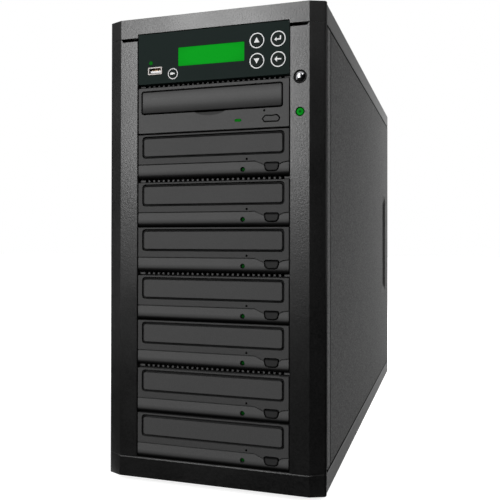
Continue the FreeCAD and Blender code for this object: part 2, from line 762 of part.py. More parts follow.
def writer_lamp(top):
    """Round writer lamp, set back in its hole."""
    return pin_y(WRITER_LAMP_R, BEZEL_SET + LAMP_SET, BEZEL_BACK, WRITER_LAMP[0], top - WRITER_LAMP[1])


# Control panel

def panel_point(point):
    """A place on the panel, given from its middle and lower edge, as X and Z."""
    return point[0], PANEL_FOOT + point[1]


def control_panel():
    """Panel plate with a skirt, holes for what it carries and posts for the board behind."""
    z0 = PANEL_FOOT + PANEL_GAP
    z1 = PANEL_TOP - PANEL_GAP
    mid = (z0 + z1) / 2
    panel = plate_xz(oblong(0, mid, 2 * PANEL_HALF, z1 - z0, EDGE_R), PANEL_SET, PANEL_SKIRT_D)
    room_w = 2 * (PANEL_HALF - PANEL_SKIRT)
    room_h = z1 - z0 - 2 * PANEL_SKIRT
    panel = panel.cut(plate_xz(oblong(0, mid, room_w, room_h, EDGE_R), PANEL_BACK,
                               PANEL_SKIRT_D + OVERCUT))
    posts = []
    for x in (-PANEL_HALF + POST_INSET, PANEL_HALF - POST_INSET):
        for z in (z0 + POST_INSET, z1 - POST_INSET):
            posts.append(plate_xz(oblong(x, z, POST_W, POST_W, 0), PANEL_SET + PANEL_T / 2, BOARD_FRONT))
    panel = panel.fuse(posts)
    return panel.cut(panel_holes())


def panel_holes():
    """Holes through the panel for the display, keys, port and lamp."""
    y0 = PANEL_SET - OVERCUT
    y1 = PANEL_BACK + OVERCUT
    x, z = panel_point(LCD_MID)
    holes = [plate_xz(oblong(x, z, *LCD_SIZE, EDGE_R), y0, y1)]
    for place in KEYS.values():
        x, z = panel_point(place[:2])
        holes.append(rod_y(place[2] + BUTTON_GAP, y0, y1, x, z))
    x, z = panel_point(USB_MID)
    holes.append(hole_xz(oblong(x, z, *USB_SIZE, EDGE_R), BUTTON_GAP, y0, y1))
    x, z = panel_point(PANEL_LAMP)
    holes.append(pin_y(PANEL_LAMP_R + LAMP_GAP, y0, y1, x, z))
    return holes


def lcd_window():
    """Display window that fills its hole and is held by a flange behind the panel."""
    x, z = panel_point(LCD_MID)
    width, height = LCD_SIZE
    pane = oblong(x, z, width - 2 * LCD_GAP, height - 2 * LCD_GAP, EDGE_R - LCD_GAP)
    pane = plate_xz(pane, PANEL_SET, PANEL_BACK)
    flange = oblong(x, z, width + 2 * LCD_FLANGE, height + 2 * LCD_FLANGE, 0)
    return pane.fuse(plate_xz(flange, PANEL_BACK, PANEL_BACK + LCD_FLANGE_T)).removeSplitter()


def controller_board():
    """Circuit board behind the panel, with the display module and a switch behind each key."""
    z0 = PANEL_FOOT + BOARD_INSET
    z1 = PANEL_TOP - BOARD_INSET
    half = PANEL_HALF - PANEL_SKIRT - BOARD_SIDE_GAP
    board = block(-half, half, BOARD_FRONT, BOARD_FRONT + BOARD_T, z0, z1)
    x, z = panel_point(LCD_MID)
    pieces = [plate_xz(oblong(x, z, *LCD_MODULE, 0), PANEL_BACK + LCD_FLANGE_T, BOARD_FRONT)]
    for place in KEYS.values():
        x, z = panel_point(place[:2])
        pieces.append(plate_xz(oblong(x, z, SWITCH_W, SWITCH_W, 0), BOARD_FRONT - SWITCH_T, BOARD_FRONT))
    return board.fuse(pieces)


def panel_key(place):
    """Round key with a flange behind the panel and a stem towards its switch."""
    x, z = panel_point(place[:2])
    radius = place[2]
    front = PANEL_SET - KEY_PROUD
    flange_y = PANEL_BACK + BUTTON_GAP
    stem_end = BOARD_FRONT - SWITCH_T - KEY_TRAVEL_GAP
    key = rod_y(radius, front, flange_y, x, z)
    flange = pin_y(radius + KEY_FLANGE, flange_y, flange_y + KEY_FLANGE_T, x, z)
    stem = plate_xz(oblong(x, z, KEY_STEM_W, KEY_STEM_W, 0), flange_y + KEY_FLANGE_T, stem_end)
    return key.fuse([flange, stem])


def usb_port():
    """Folded metal shell of the port, with a flared rim at its mouth."""
    x, z = panel_point(USB_MID)
    width, height = USB_SIZE
    front = PANEL_SET - USB_PROUD
    shell = plate_xz(oblong(x, z, width, height, EDGE_R), front, BOARD_FRONT)
    rim = oblong(x, z, width + 2 * USB_RIM, height + 2 * USB_RIM, EDGE_R)
    shell = shell.fuse(plate_xz(rim, front - USB_RIM_T, PANEL_SET))
    room = oblong(x, z, width - 2 * USB_WALL, height - 2 * USB_WALL, EDGE_R - USB_WALL)
    return shell.cut(plate_xz(room, front - OVERCUT, BOARD_FRONT - USB_WALL)).removeSplitter()


def usb_tongue():
    """Contact tongue a little under the middle of the port, standing on its rear wall."""
    x, z = panel_point(USB_MID)
    width, height = USB_TONGUE
    corners = oblong(x, z + USB_TONGUE_UP, width, height, 0)
    return plate_xz(corners, PANEL_SET + USB_TONGUE_SET, BOARD_FRONT - USB_WALL)


def panel_lamp():
    """Small lamp on the panel that stands on the board."""
    x, z = panel_point(PANEL_LAMP)
    return pin_y(PANEL_LAMP_R, PANEL_SET - LAMP_GAP, BOARD_FRONT, x, z)


# Power button and lamp

def ring_sleeve_r():
    """Outer radius of the power button's sleeve in the pillar."""
    return POWER_R + BUTTON_GAP + RING_T - RING_LIP


def power_ring():
    """Trim ring with a lip on the pillar and a sleeve that guides the button."""
    inner = POWER_R + BUTTON_GAP
    lip = inner + RING_T
    profile = [(inner, -RING_PROUD / 2), (inner + RING_LIP, -RING_PROUD), (lip, 0),
               (ring_sleeve_r(), 0), (ring_sleeve_r(), RING_DEPTH), (inner, RING_DEPTH)]
    return turned(profile, POWER_X, POWER_Z)


def power_button():
    """Domed power button with a stem behind."""
    shoulder = RING_DEPTH + EDGE_R
    profile = [(0, -POWER_DOME), (POWER_R, 0), (POWER_R, shoulder), (POWER_STEM_R, shoulder),
               (POWER_STEM_R, POWER_STEM_END), (0, POWER_STEM_END)]
    return turned(profile, POWER_X, POWER_Z, domed=True)


def power_lamp():
    """Domed lens of the power lamp, held by a flange behind the pillar's wall."""
    flange_r = POWER_LAMP_R + POWER_LAMP_FLANGE
    flange_end = WALL + POWER_LAMP_FLANGE_T
    profile = [(0, -POWER_LAMP_PROUD), (POWER_LAMP_R, POWER_LAMP_PROUD), (POWER_LAMP_R, WALL),
               (flange_r, WALL), (flange_r, flange_end), (0, flange_end)]
    return turned(profile, POWER_X, POWER_LAMP_Z, domed=True)


# Steel case

def base_pan():
    """Floor with the side strips, the set-in flanges behind the side panels and a front flange."""
    path = [(-JOGGLE_X, STRIP_H + FLANGE_H), (-JOGGLE_X, STRIP_H), (-CASE_HALF, STRIP_H), (-CASE_HALF, 0)]
    path = path + [(-x, z) for x, z in reversed(path)]
    pan = plate_xz(sheet_section(path), STEEL_FRONT, REAR_OUT)
    inner = CASE_HALF - SHEET - SHEET_GAP
    front = block(-inner, inner, STEEL_FRONT, STEEL_FRONT + SHEET, SHEET / 2, FRONT_FLANGE_H)
    return pan.fuse(front).removeSplitter()


def top_cover():
    """Top cover, bent like the base and turned over."""
    return base_pan().mirror(Vector(0, 0, CASE_H / 2), Vector(0, 0, 1))


def recess_wire(size, depth, grow):
    """Outline of the finger recess at a depth under the panel's face, grown by the sheet."""
    mid_y = PANEL_REAR - RECESS_FROM_REAR
    corners = oblong(mid_y, CASE_H / 2, size[0] + 2 * grow, size[1] + 2 * grow, RECESS_R + grow)
    return outline(corners, in_yz(CASE_HALF - depth))


def right_side_panel():
    """Side panel: front hem, grooved margin, pressed finger recess and a rear flange for its screws."""
    hem = CASE_HALF - JOGGLE_X - SHEET_GAP
    front = STEEL_FRONT + SHEET_GAP
    path = [(CASE_HALF - hem, front), (CASE_HALF, front), (CASE_HALF, PANEL_REAR),
            (CASE_HALF - PANEL_REAR_FLANGE, PANEL_REAR)]
    z0 = STRIP_H + PANEL_EDGE
    z1 = CASE_H - STRIP_H - PANEL_EDGE
    panel = plate_xy(sheet_section(path), z0, z1)
    pocket = Part.makeLoft([recess_wire(RECESS_SIZE, 0, 0),
                            recess_wire(RECESS_FLOOR, RECESS_DEPTH, 0)], True, True)
    dish = Part.makeLoft([recess_wire(RECESS_SIZE, 0, SHEET),
                          recess_wire(RECESS_FLOOR, RECESS_DEPTH + SHEET, SHEET)], True, True)
    groove_y = front + GROOVE_FROM_FRONT
    groove = block(CASE_HALF - GROOVE_DEPTH, CASE_HALF + OVERCUT, groove_y, groove_y + GROOVE_W,
                   z0 - OVERCUT, z1 + OVERCUT)
    cuts = [pocket, groove]
    for x, z in screw_places():
        cuts.append(pin_y(SCREW_R + SCREW_GAP, PANEL_REAR - 2 * SHEET, PANEL_REAR + SHEET, x, z))
    return panel.fuse(dish).cut(cuts).removeSplitter()


def screw_places():
    """Places of the right panel's thumb screws."""
    x = CASE_HALF - SCREW_INSET
    return [(x, SCREW_FROM_END), (x, CASE_H - SCREW_FROM_END)]


def thumb_screws():
    """Captive thumb screws of the right panel."""
    start = PANEL_REAR - SCREW_L
    screws = []
    for x, z in screw_places():
        head = plate_xz(regular(x, z, SCREW_HEAD_R, KNOB_SIDES), PANEL_REAR, SCREW_TIP)
        screws.append(head.fuse(pin_y(SCREW_R, start, PANEL_REAR, x, z)))
    return screws


def drive_cage_wall():
    """Right wall of the drive cage, with a front flange for the pillar and windows that lighten it."""
    path = [(CAGE_X, LEG_DEPTH + CAGE_D), (CAGE_X, LEG_DEPTH), (JOGGLE_X - CAGE_FLANGE_END, LEG_DEPTH)]
    wall = plate_xy(sheet_section(path), SHEET, CASE_H - SHEET)
    foot_x = CAGE_X + SHEET / 2
    foot_y = LEG_DEPTH + 2 * SHEET
    foot = block(foot_x, foot_x + CAGE_FOOT_W, foot_y, LEG_DEPTH + CAGE_D, SHEET, 2 * SHEET)
    head = foot.mirror(Vector(0, 0, CASE_H / 2), Vector(0, 0, 1))
    window_y = LEG_DEPTH + CAGE_D / 2
    pitch = CASE_H / CAGE_WINDOWS
    windows = []
    for i in range(CAGE_WINDOWS):
        corners = oblong(window_y, pitch * (i + 0.5), *CAGE_WINDOW, 0)
        windows.append(plate_yz(corners, CAGE_X - OVERCUT, CAGE_X + SHEET + OVERCUT))
    return wall.fuse([foot, head]).cut(windows)


def grille(size, x, z, y0, y1):
    """Level slots of a fan grille on both sides of a middle bar, as long as the fan's round duct allows."""
    reach = size / 2 - FAN_WALL
    pitch = GRILLE_SLOT + GRILLE_BAR
    count = int(2 * reach // pitch)
    near = GRILLE_SPINE / 2
    slots = []
    for i in range(count):
        rise = pitch * (i - (count - 1) / 2)
        far = math.sqrt(reach ** 2 - (abs(rise) + GRILLE_SLOT / 2) ** 2)
        foot = z + rise - GRILLE_SLOT / 2
        head = foot + GRILLE_SLOT
        slots.append(block(x - far, x - near, y0, y1, foot, head))
        slots.append(block(x + near, x + far, y0, y1, foot, head))
    return slots


def rear_panel():
    """Rear sheet with side lips, the fan grille, vent rows, the power supply's cut-out and screw holes."""
    half = JOGGLE_X - SHEET - SHEET_GAP
    path = [(half, REAR_OUT - REAR_LIP), (half, REAR_OUT), (-half, REAR_OUT), (-half, REAR_OUT - REAR_LIP)]
    panel = plate_xy(sheet_section(path), SHEET, CASE_H - SHEET)
    y0 = REAR_IN - OVERCUT
    y1 = REAR_OUT + OVERCUT
    cuts = grille(CASE_FAN_SIZE, 0, CASE_FAN_UP, y0, y1)
    for row in range(REAR_VENT_ROWS):
        z = REAR_VENT_UP + REAR_VENT_PITCH * row
        for x in (-REAR_VENT[0] / 2 - REAR_VENT_PITCH / 2, REAR_VENT[0] / 2 + REAR_VENT_PITCH / 2):
            cuts.append(plate_xz(oblong(x, z, *REAR_VENT, 0), y0, y1))
    face_w = PSU_SIZE[0] - 2 * PSU_FACE_BORDER
    face_h = PSU_SIZE[2] - 2 * PSU_FACE_BORDER
    cuts.append(plate_xz(oblong(0, PSU_MID_Z, face_w, face_h, EDGE_R), y0, y1))
    for x, z in screw_places():
        cuts.append(pin_y(SCREW_R + SCREW_GAP, y0, y1, x, z))
        cuts.append(pin_y(SCREW_R + SCREW_GAP, y0, y1, -x, z))
    return panel.cut(Part.makeCompound(cuts))


# Power supply and fans

def power_supply():
    """Power supply box with its own fan grille, the mains module's hole and vents towards the inside."""
    half = PSU_SIZE[0] / 2
    y0 = REAR_IN - PSU_SIZE[1]
    z1 = PSU_UP + PSU_SIZE[2]
    wall = PSU_WALL
    can = block(-half, half, y0, REAR_IN, PSU_UP, z1)
    can = can.cut(block(-half + wall, half - wall, y0 + wall, REAR_IN - wall, PSU_UP + wall, z1 - wall))
    cuts = grille(PSU_FAN_SIZE, PSU_FAN_X, PSU_MID_Z, REAR_IN - 2 * wall, REAR_IN + wall)
    hole = oblong(MODULE_X, PSU_MID_Z, MODULE_BODY[0] + 2 * MODULE_GAP, MODULE_BODY[1] + 2 * MODULE_GAP, 0)
    cuts.append(plate_xz(hole, REAR_IN - 2 * wall, REAR_IN + wall))
    pitch = PSU_SIZE[0] / (PSU_VENTS + 1)
    for i in range(PSU_VENTS):
        slot = oblong(-half + pitch * (i + 1), PSU_MID_Z, pitch / 3, PSU_SIZE[2] / 2, 0)
        cuts.append(plate_xz(slot, y0 - wall, y0 + 2 * wall))
    return can.cut(Part.makeCompound(cuts))


def fan_frame(size, x, z, rear):
    """Square fan frame: round duct, and struts on its inner side that carry the motor's seat."""
    front = rear - FAN_D
    bore = size / 2 - FAN_WALL
    frame = plate_xz(oblong(x, z, size, size, FAN_WALL), front, rear)
    frame = frame.cut(rod_y(bore, front - OVERCUT, rear + OVERCUT, x, z))
    seat = pin_y(fan_hub_r(size), front, front + FAN_STRUT_T, x, z)
    struts = []
    for turn in (45, 135):
        strut = block(x - bore - FAN_WALL / 2, x + bore + FAN_WALL / 2, front, front + FAN_STRUT_T,
                      z - FAN_STRUT_W / 2, z + FAN_STRUT_W / 2)
        strut.rotate(Vector(x, 0, z), Vector(0, 1, 0), turn)
        struts.append(strut)
    return frame.fuse([seat] + struts)


def fan_hub_r(size):
    """Radius of a fan's hub."""
    return size / 6


def blade_edge(reach, tilt, mid_y):
    """Section of a blade at a distance from the axis, tilted across the flow."""
    along = Vector(math.cos(math.radians(tilt)), math.sin(math.radians(tilt)), 0)
    across = Vector(-along.y, along.x, 0)
    half = along * (BLADE_H / 2 / along.y)
    side = across * (BLADE_T / 2)
    middle = Vector(0, mid_y, reach)
    corners = [middle - half - side, middle + half - side, middle + half + side, middle - half + side]
    return Part.makePolygon(corners + corners[:1])


def fan_rotor(size, x, z, rear):
    """Fan rotor: a hub on the motor's seat with twisted blades lofted from root to tip."""
    hub_r = fan_hub_r(size)
    seat_y = rear - FAN_D + FAN_STRUT_T + FAN_HUB_SHARE_GAP
    hub_end = rear - FAN_STRUT_T
    hub = rod_y(hub_r, seat_y, hub_end, 0, 0)
    mid_y = (seat_y + hub_end) / 2
    tip = size / 2 - FAN_WALL - FAN_TIP_GAP - BLADE_T
    root = blade_edge(hub_r - BLADE_T, BLADE_ROOT_TILT, mid_y)
    blade = Part.makeLoft([root, blade_edge(tip, BLADE_TIP_TILT, mid_y)], True, True)
    blades = []
    for i in range(FAN_BLADES):
        turned_blade = blade.copy()
        turned_blade.rotate(Vector(0, 0, 0), Vector(0, 1, 0), 360 * i / FAN_BLADES)
        blades.append(turned_blade)
    rotor = hub.fuse(blades)
    rotor.translate(Vector(x, 0, z))
    return rotor


# Mains module

def mains_inlet():
    """Moulded module with the mains socket below and the rocker's well above, and the socket's pins."""
    outer = REAR_IN + MODULE_FLANGE_T
    inner = REAR_IN - MODULE_DEPTH
    body = plate_xz(oblong(MODULE_X, PSU_MID_Z, *MODULE_BODY, EDGE_R), inner, REAR_IN)
    flange = plate_xz(oblong(MODULE_X, PSU_MID_Z, *MODULE_SIZE, BEVEL_R), REAR_IN, outer)
    half_w, half_h = SOCKET_SIZE[0] / 2, SOCKET_SIZE[1] / 2
    socket = plate_xz([(MODULE_X - half_w, SOCKET_Z - half_h, EDGE_R),
                       (MODULE_X + half_w, SOCKET_Z - half_h, EDGE_R),
                       (MODULE_X + half_w, SOCKET_Z + half_h - SOCKET_CHAMFER, EDGE_R),
                       (MODULE_X + half_w - SOCKET_CHAMFER, SOCKET_Z + half_h, EDGE_R),
                       (MODULE_X - half_w + SOCKET_CHAMFER, SOCKET_Z + half_h, EDGE_R),
                       (MODULE_X - half_w, SOCKET_Z + half_h - SOCKET_CHAMFER, EDGE_R)],
                      outer - SOCKET_DEPTH, outer + OVERCUT)
    well_w = ROCKER_SIZE[0] + 2 * ROCKER_HOLE_GAP
    well_h = ROCKER_SIZE[1] + 2 * ROCKER_HOLE_GAP
    well = plate_xz(oblong(MODULE_X, ROCKER_Z, well_w, well_h, 0), outer - ROCKER_WELL,
                    outer + OVERCUT)
    pivot_l = ROCKER_SIZE[0] / 2 + ROCKER_PIN_L + ROCKER_PIN_GAP
    pivot = Part.makeCylinder(ROCKER_PIN_R + ROCKER_PIN_GAP, 2 * pivot_l,
                              Vector(MODULE_X - pivot_l, ROCKER_Y, ROCKER_Z), Vector(1, 0, 0))
    return body.fuse(flange).cut([socket, well, pivot]).removeSplitter()


def mains_pins():
    """Three flat pins standing in the mains socket."""
    floor = REAR_IN + MODULE_FLANGE_T - SOCKET_DEPTH
    places = [(MODULE_X - PIN_SPREAD, SOCKET_Z - PIN_DROP), (MODULE_X, SOCKET_Z + EARTH_RISE),
              (MODULE_X + PIN_SPREAD, SOCKET_Z - PIN_DROP)]
    return [plate_xz(oblong(x, z, *PIN_SIZE, 0), floor, floor + PIN_L) for x, z in places]


def rocker_switch():
    """Rocker with two slanted faces and a keel, on pivot pins, lying tipped to one side."""
    half_w, half_h = ROCKER_SIZE[0] / 2, ROCKER_SIZE[1] / 2
    y, z = ROCKER_Y, ROCKER_Z
    corners = [(y + ROCKER_RISE_END, z - half_h, EDGE_R), (y + ROCKER_DIP, z, BEVEL_R),
               (y + ROCKER_RISE_END, z + half_h, EDGE_R), (y, z + half_h - EDGE_R, 0),
               (y - ROCKER_KEEL, z, BEVEL_R), (y, z - half_h + EDGE_R, 0)]
    rocker = plate_yz(corners, MODULE_X - half_w, MODULE_X + half_w)
    pin_l = half_w + ROCKER_PIN_L
    pin = Part.makeCylinder(ROCKER_PIN_R, 2 * pin_l, Vector(MODULE_X - pin_l, y, z), Vector(1, 0, 0))
    rocker = rocker.fuse(pin)
    rocker.rotate(Vector(MODULE_X, y, z), Vector(1, 0, 0), ROCKER_TILT)
    return rocker


def feet():
    """Four rubber feet under the floor."""
    pads = []
    for x in (-CASE_HALF + FOOT_SIDE_INSET, CASE_HALF - FOOT_SIDE_INSET):
        for y in (FOOT_END_INSET, CASE_D - FOOT_END_INSET):
            pads.append(plate_xy(regular(x, y, FOOT_R, KNOB_SIDES), -FOOT_H, 0))
    return pads


# Assembly

def drive_nodes():
    """Bezels, housings, trays, doors, eject buttons and lamps of all the drives."""
    nodes = {"drive_housings": [], "writer_bezels": [], "indicator_lamps": []}
    for name, top in DRIVE_TOPS.items():
        is_reader = name == "reader"
        door_bottom = READER_DOOR_BOTTOM if is_reader else DOOR_BOTTOM
        foot = tray_foot(top, door_bottom)
        door = reader_door_corners(top) if is_reader else writer_door_corners(top)
        eject = from_top(top, READER_EJECT if is_reader else WRITER_EJECT)
        nodes["drive_housings"].append(drive_housing(top, foot))
        nodes[name + "_tray"] = [disc_tray(foot)]
        nodes[name + "_tray_door"] = [tray_door(door)]
        nodes[name + "_eject_button"] = [eject_button(eject)]
        if is_reader:
            nodes["reader_bezel"] = [reader_bezel(top)]
            nodes["indicator_lamps"].append(plate_xz(reader_lamp_corners(top), BEZEL_SET, BEZEL_BACK))
        else:
            nodes["writer_bezels"].append(writer_bezel(top))
            nodes["indicator_lamps"].append(writer_lamp(top))
    return nodes


def front_nodes():
    """Moulded front, vent strips, control panel and power button."""
    nodes = {
        "bezel_top_cap": [top_cap()],
        "bezel_bottom_cap": [bottom_cap()],
        "bezel_left_pillar": [mirror_x(pillar())],
        "bezel_right_pillar": [right_pillar()],
        "vent_strips": [vent_strip(foot, height) for foot, height in VENTS],
        "control_panel": [control_panel()],
        "lcd_window": [lcd_window()],
        "controller_board": [controller_board()],
        "usb_port": [usb_port()],
        "usb_tongue": [usb_tongue()],
        "power_button": [power_button()],
        "power_button_ring": [power_ring()],
    }
    for name, place in KEYS.items():
        nodes[name] = [panel_key(place)]
    return nodes


def case_nodes():
    """Steel case, rear units and feet."""
    psu_fan = (PSU_FAN_SIZE, PSU_FAN_X, PSU_MID_Z, REAR_IN - PSU_WALL)
    case_fan = (CASE_FAN_SIZE, 0, CASE_FAN_UP, REAR_IN)
    panel = right_side_panel()
    screws = thumb_screws()
    cage = drive_cage_wall()
    return {
        "base_pan": [base_pan()],
        "top_cover": [top_cover()],
        "right_side_panel": [panel],
        "left_side_panel": [mirror_x(panel)],
        "right_thumb_screws": screws,
        "left_thumb_screws": [mirror_x(screw) for screw in screws],
        "rear_panel": [rear_panel()],
        "drive_cage": [cage, mirror_x(cage)],
        "power_supply": [power_supply()],
        "fan_frames": [fan_frame(*psu_fan), fan_frame(*case_fan)],
        "power_supply_fan_rotor": [fan_rotor(*psu_fan)],
        "case_fan_rotor": [fan_rotor(*case_fan)],
        "mains_inlet": [mains_inlet()] + mains_pins(),
        "rocker_switch": [rocker_switch()],
        "rubber_feet": feet(),
    }


def export(nodes):
    """Writes each node's solids to its own file, moved onto the feet and the middle of the footprint."""
    os.makedirs("parts", exist_ok=True)
    shift = Vector(0, -(SCREW_TIP - POWER_DOME) / 2, FOOT_H)
    for name, solids in sorted(nodes.items()):
        moved = []
        for solid in solids:
            solid.translate(shift)
            moved.extend(solid.Solids)
        shape = moved[0] if len(moved) == 1 else Part.makeCompound(moved)
        shape.exportStep("parts/%s.step" % name)
        print("%-26s %d solids, %.1f mm3" % (name, len(moved), shape.Volume))


def main():
    nodes = drive_nodes()
    nodes["indicator_lamps"] += [panel_lamp(), power_lamp()]
    nodes.update(front_nodes())
    nodes.update(case_nodes())
    export(nodes)


main()
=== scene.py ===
import math
from functools import partial, reduce

import bmesh
import bpy
from mathutils import Matrix, Vector


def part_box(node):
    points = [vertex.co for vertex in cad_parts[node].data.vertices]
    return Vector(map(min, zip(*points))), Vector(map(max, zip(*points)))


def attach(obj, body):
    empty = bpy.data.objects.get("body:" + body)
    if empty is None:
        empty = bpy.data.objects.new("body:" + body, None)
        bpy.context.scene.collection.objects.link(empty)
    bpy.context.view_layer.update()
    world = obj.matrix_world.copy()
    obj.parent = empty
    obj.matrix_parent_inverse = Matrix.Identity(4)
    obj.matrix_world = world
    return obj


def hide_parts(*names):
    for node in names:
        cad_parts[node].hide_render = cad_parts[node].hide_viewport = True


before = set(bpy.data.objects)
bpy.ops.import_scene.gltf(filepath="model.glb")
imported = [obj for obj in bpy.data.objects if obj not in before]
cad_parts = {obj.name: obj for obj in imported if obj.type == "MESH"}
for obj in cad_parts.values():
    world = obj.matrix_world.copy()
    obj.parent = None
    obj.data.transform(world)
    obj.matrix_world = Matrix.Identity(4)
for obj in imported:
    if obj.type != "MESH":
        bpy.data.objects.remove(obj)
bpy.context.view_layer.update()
scene = bpy.context.scene

# Looks of the disc duplicator tower. Places come from the parts in model.glb, in metres.

WRITERS = ["writer_%d" % number for number in range(1, 8)]
DRIVES = ["reader"] + WRITERS
KEYS = ["up_button", "down_button", "enter_button", "back_button", "usb_button"]
MM = 0.001

# Camera fitted to the photograph's front edges and right side
CAMERA_PLACE = (0.2140, -0.6831, 0.2305)
CAMERA_YAW = 13.89
CAMERA_PITCH = -0.35
CAMERA_ROLL = -0.05
CAMERA_LENS = 38.6
CAMERA_SHIFT = (-0.14, -0.0290)
SENSOR_WIDTH = 36.0
CLIP_START = 0.02

# Soft lights: place, target, size and watts
KEY_LIGHT = ((-0.594, -1.507, 0.96), (0, -0.23, 0.4), (0.48, 1.18), 22.9)
RIGHT_LIGHT = ((0.5, 0.75, 0.55), (0.1, 0.18, 0.22), (0.5, 0.5), 13.5)
REAR_LIGHT = ((-1.2, 2.2, 1.4), (0, 0.2, 0.2), (1.2, 1.0), 20.0)

# Floor, surroundings and cards
WHITE = (1, 1, 1, 1)
FLOOR_REACH = 6.0
FLOOR_LEVELS = ((0.0, 0.62), (1.0, 0.66))
FLOOR_LIFT_NEAR = 0.76
FLOOR_LIFT_FAR = 1.0
FLOOR_NEAR = 0.6
FLOOR_FAR = 3.0
AMBIENT = 0.16
DARK_CARDS = {
    "card_on_floor": [(-1.2, -1.6, 0.002), (1.2, -1.6, 0.002), (1.2, -0.234, 0.002), (-1.2, -0.234, 0.002)],
    "card_low_front": [(-1.6, -1.6, 0), (1.6, -1.6, 0), (1.6, -1.6, 0.25), (-1.6, -1.6, 0.25)],
    "card_left": [(-1.4, -0.9, 0), (-1.4, 0.4, 0), (-1.4, 0.4, 1.8), (-1.4, -0.9, 1.8)],
    "card_behind_camera": [(0.1, -1.6, 0), (1.6, -0.9, 0), (1.6, -0.9, 2.0), (0.1, -1.6, 2.0)],
    "card_floor_right": [(0.11, -1.0, 0.002), (2.4, -1.0, 0.002), (2.4, 1.4, 0.002), (0.11, 1.4, 0.002)],
    "card_far_right": [(2.4, -1.0, 0), (2.4, 1.4, 0), (2.4, 1.4, 2.6), (2.4, -1.0, 2.6)],
    "card_rear_right": [(0.2, 1.4, 0), (1.6, 1.4, 0), (1.6, 1.4, 2.0), (0.2, 1.4, 2.0)],
}
GLINT_CARD = [(0.34, -1.15, 1.15), (0.6, -1.05, 1.15), (0.6, -1.05, 1.4), (0.34, -1.15, 1.4)]
GLINT_LEVEL = 8.0
GLINT_TINT = ((0.3, 0.7), (0.7, 0.8))

# Screws; plain numbers are shares of a radius or a height
KNURL_DEPTH = 0.25 * MM
THUMB_SEGMENTS = 64
THUMB_SHANK_R = 2.0 * MM
THUMB_HEAD_L = 7.0 * MM
THUMB_TIP_R = 0.7
THUMB_TIP_L = 0.4
THUMB_EASE = 0.08
THUMB_NECK = 0.8
THUMB_FACE = 0.82
THUMB_KNURL_FROM = 0.9
THUMB_RECESS = 0.2
SCREW_SEGMENTS = 40
PAN_HEIGHT = 0.6
PAN_FOOT = 0.96
PAN_PROFILE = ((1.0, 0.25), (0.97, 0.6), (0.9, 0.85))
PAN_RECESS = 0.35
FAN_SCREW_SPACING = 105.0 * MM
FAN_SCREW_R = 3.2 * MM
SUPPLY_SCREW_R = 2.2 * MM
SUPPLY_SCREW_INSET = 2.5 * MM
CROSS_ARM = 0.15
CROSS_REACH = 0.66
CROSS_RINGS = (0.8, 0.7, 0.62, 0.4, 0.2, 0.06)

# Disc trays and the port's contacts; profiles are in shares of a width or length and a height
TRAY_RIM = 7.0 * MM
DISC_WELL_R = 60.5 * MM
DISC_WELL_DEPTH = 4.5 * MM
TRAY_RIDGES = ((41.0 * MM, 0.9 * MM, 0.8 * MM), (58.5 * MM, 1.2 * MM, 0.5 * MM))
RIDGE_CLEAR = 21.5 * MM
RIDGE_STEPS = 60
RIDGE_PROFILE = ((-0.5, 0.6), (-0.25, 1.0), (0.25, 1.0), (0.5, 0.6))
CONTACT_PLACES = (-3.5, -1.0, 1.0, 3.5)
CONTACT_W = 1.1 * MM
CONTACT_T = 0.15 * MM
CONTACT_BOW = 1.8 * MM
CONTACT_BOW_L = 5.0 * MM
CONTACT_LINE = ((0.0, 0.0), (0.12, 0.75), (0.3, 1.0), (0.6, 0.6), (1.0, 0.0))

# Mains inlet and rocker
PIN_FIELD = (18.0 * MM, 10.0 * MM)
PIN_FIELD_DROP = 12.0 * MM
PIN_FIELD_IN = (2.4 * MM, 16.9 * MM)
ROCKER_LINE = (0.8, 4.0)
ROCKER_CIRCLE = (1.3 * MM, 1.95 * MM)
ROCKER_OUTWARD = 0.7

# Grain and relief
GRAIN_LOW = 0.3
GRAIN_HIGH = 0.7
NOISE_ROUGHNESS = 0.6
WANDER_SCALE = 14.0
WANDER_RANGE = (0.25, 0.75)
WANDER = 0.06
RELIEF_STRENGTH = 0.5
EDGE_SAMPLES = 4
BRUSHED = (1.0, 0.12, 1.0)

# Colour sockets of a mix node
MIX_FIRST = 6
MIX_SECOND = 7
MIX_RESULT = 2

# Vent strips with painted light on their bars, and faces by the way they turn: painted shade on rims and
# undersides, less relief on sides
STRIP_GAP = 10.0 * MM
VENT_HEAD = 0.1 * MM
VENT_FOOT = 0.8 * MM
TOP_VENT_FOOT = 1.5 * MM
TOP_VENT_HEAD = 0.8 * MM
RIM_SAMPLES = 8
RIM_TURN = (0.9, 1.0)
RIM_LEVEL = 0.08
UNDER_TURN = (-0.75, -0.1)
UNDER_LEVEL = 0.12
SIDE_TURN = (0.2, 0.5)
SIDE_RELIEF = (1.0, 0.15)

# Painted shade over the reader's door and its notch, and the lamps' and display's glow, over a whole span,
# as (share, level) stops
READER_DOOR_FADE = ((0.0, 0.14), (0.1, 0.25), (0.25, 0.45), (0.4, 0.77), (0.55, 0.95), (0.68, 1.0),
                    (0.85, 0.88), (1.0, 0.55))
NOTCH_HALF = (16.0 * MM, 5.0 * MM)
NOTCH_FADE = ((0.0, 0.5), (0.86, 0.55), (0.94, 0.42), (1.0, 1.0))
LAMP_R = 3.4 * MM
LAMP_FADE = ((0.0, 0.25), (0.3, 0.35), (0.5, 1.0), (0.75, 0.9), (1.0, 0.3))
LENS_CLOUD = ((0.3, 0.8), (0.7, 1.0))
DISPLAY_SPREAD = 0.55
DISPLAY_EDGE = 0.72
DISPLAY_FULL = 0.6
DISPLAY_CELLS = ((0.35, 1.0), (0.6, 0.86))
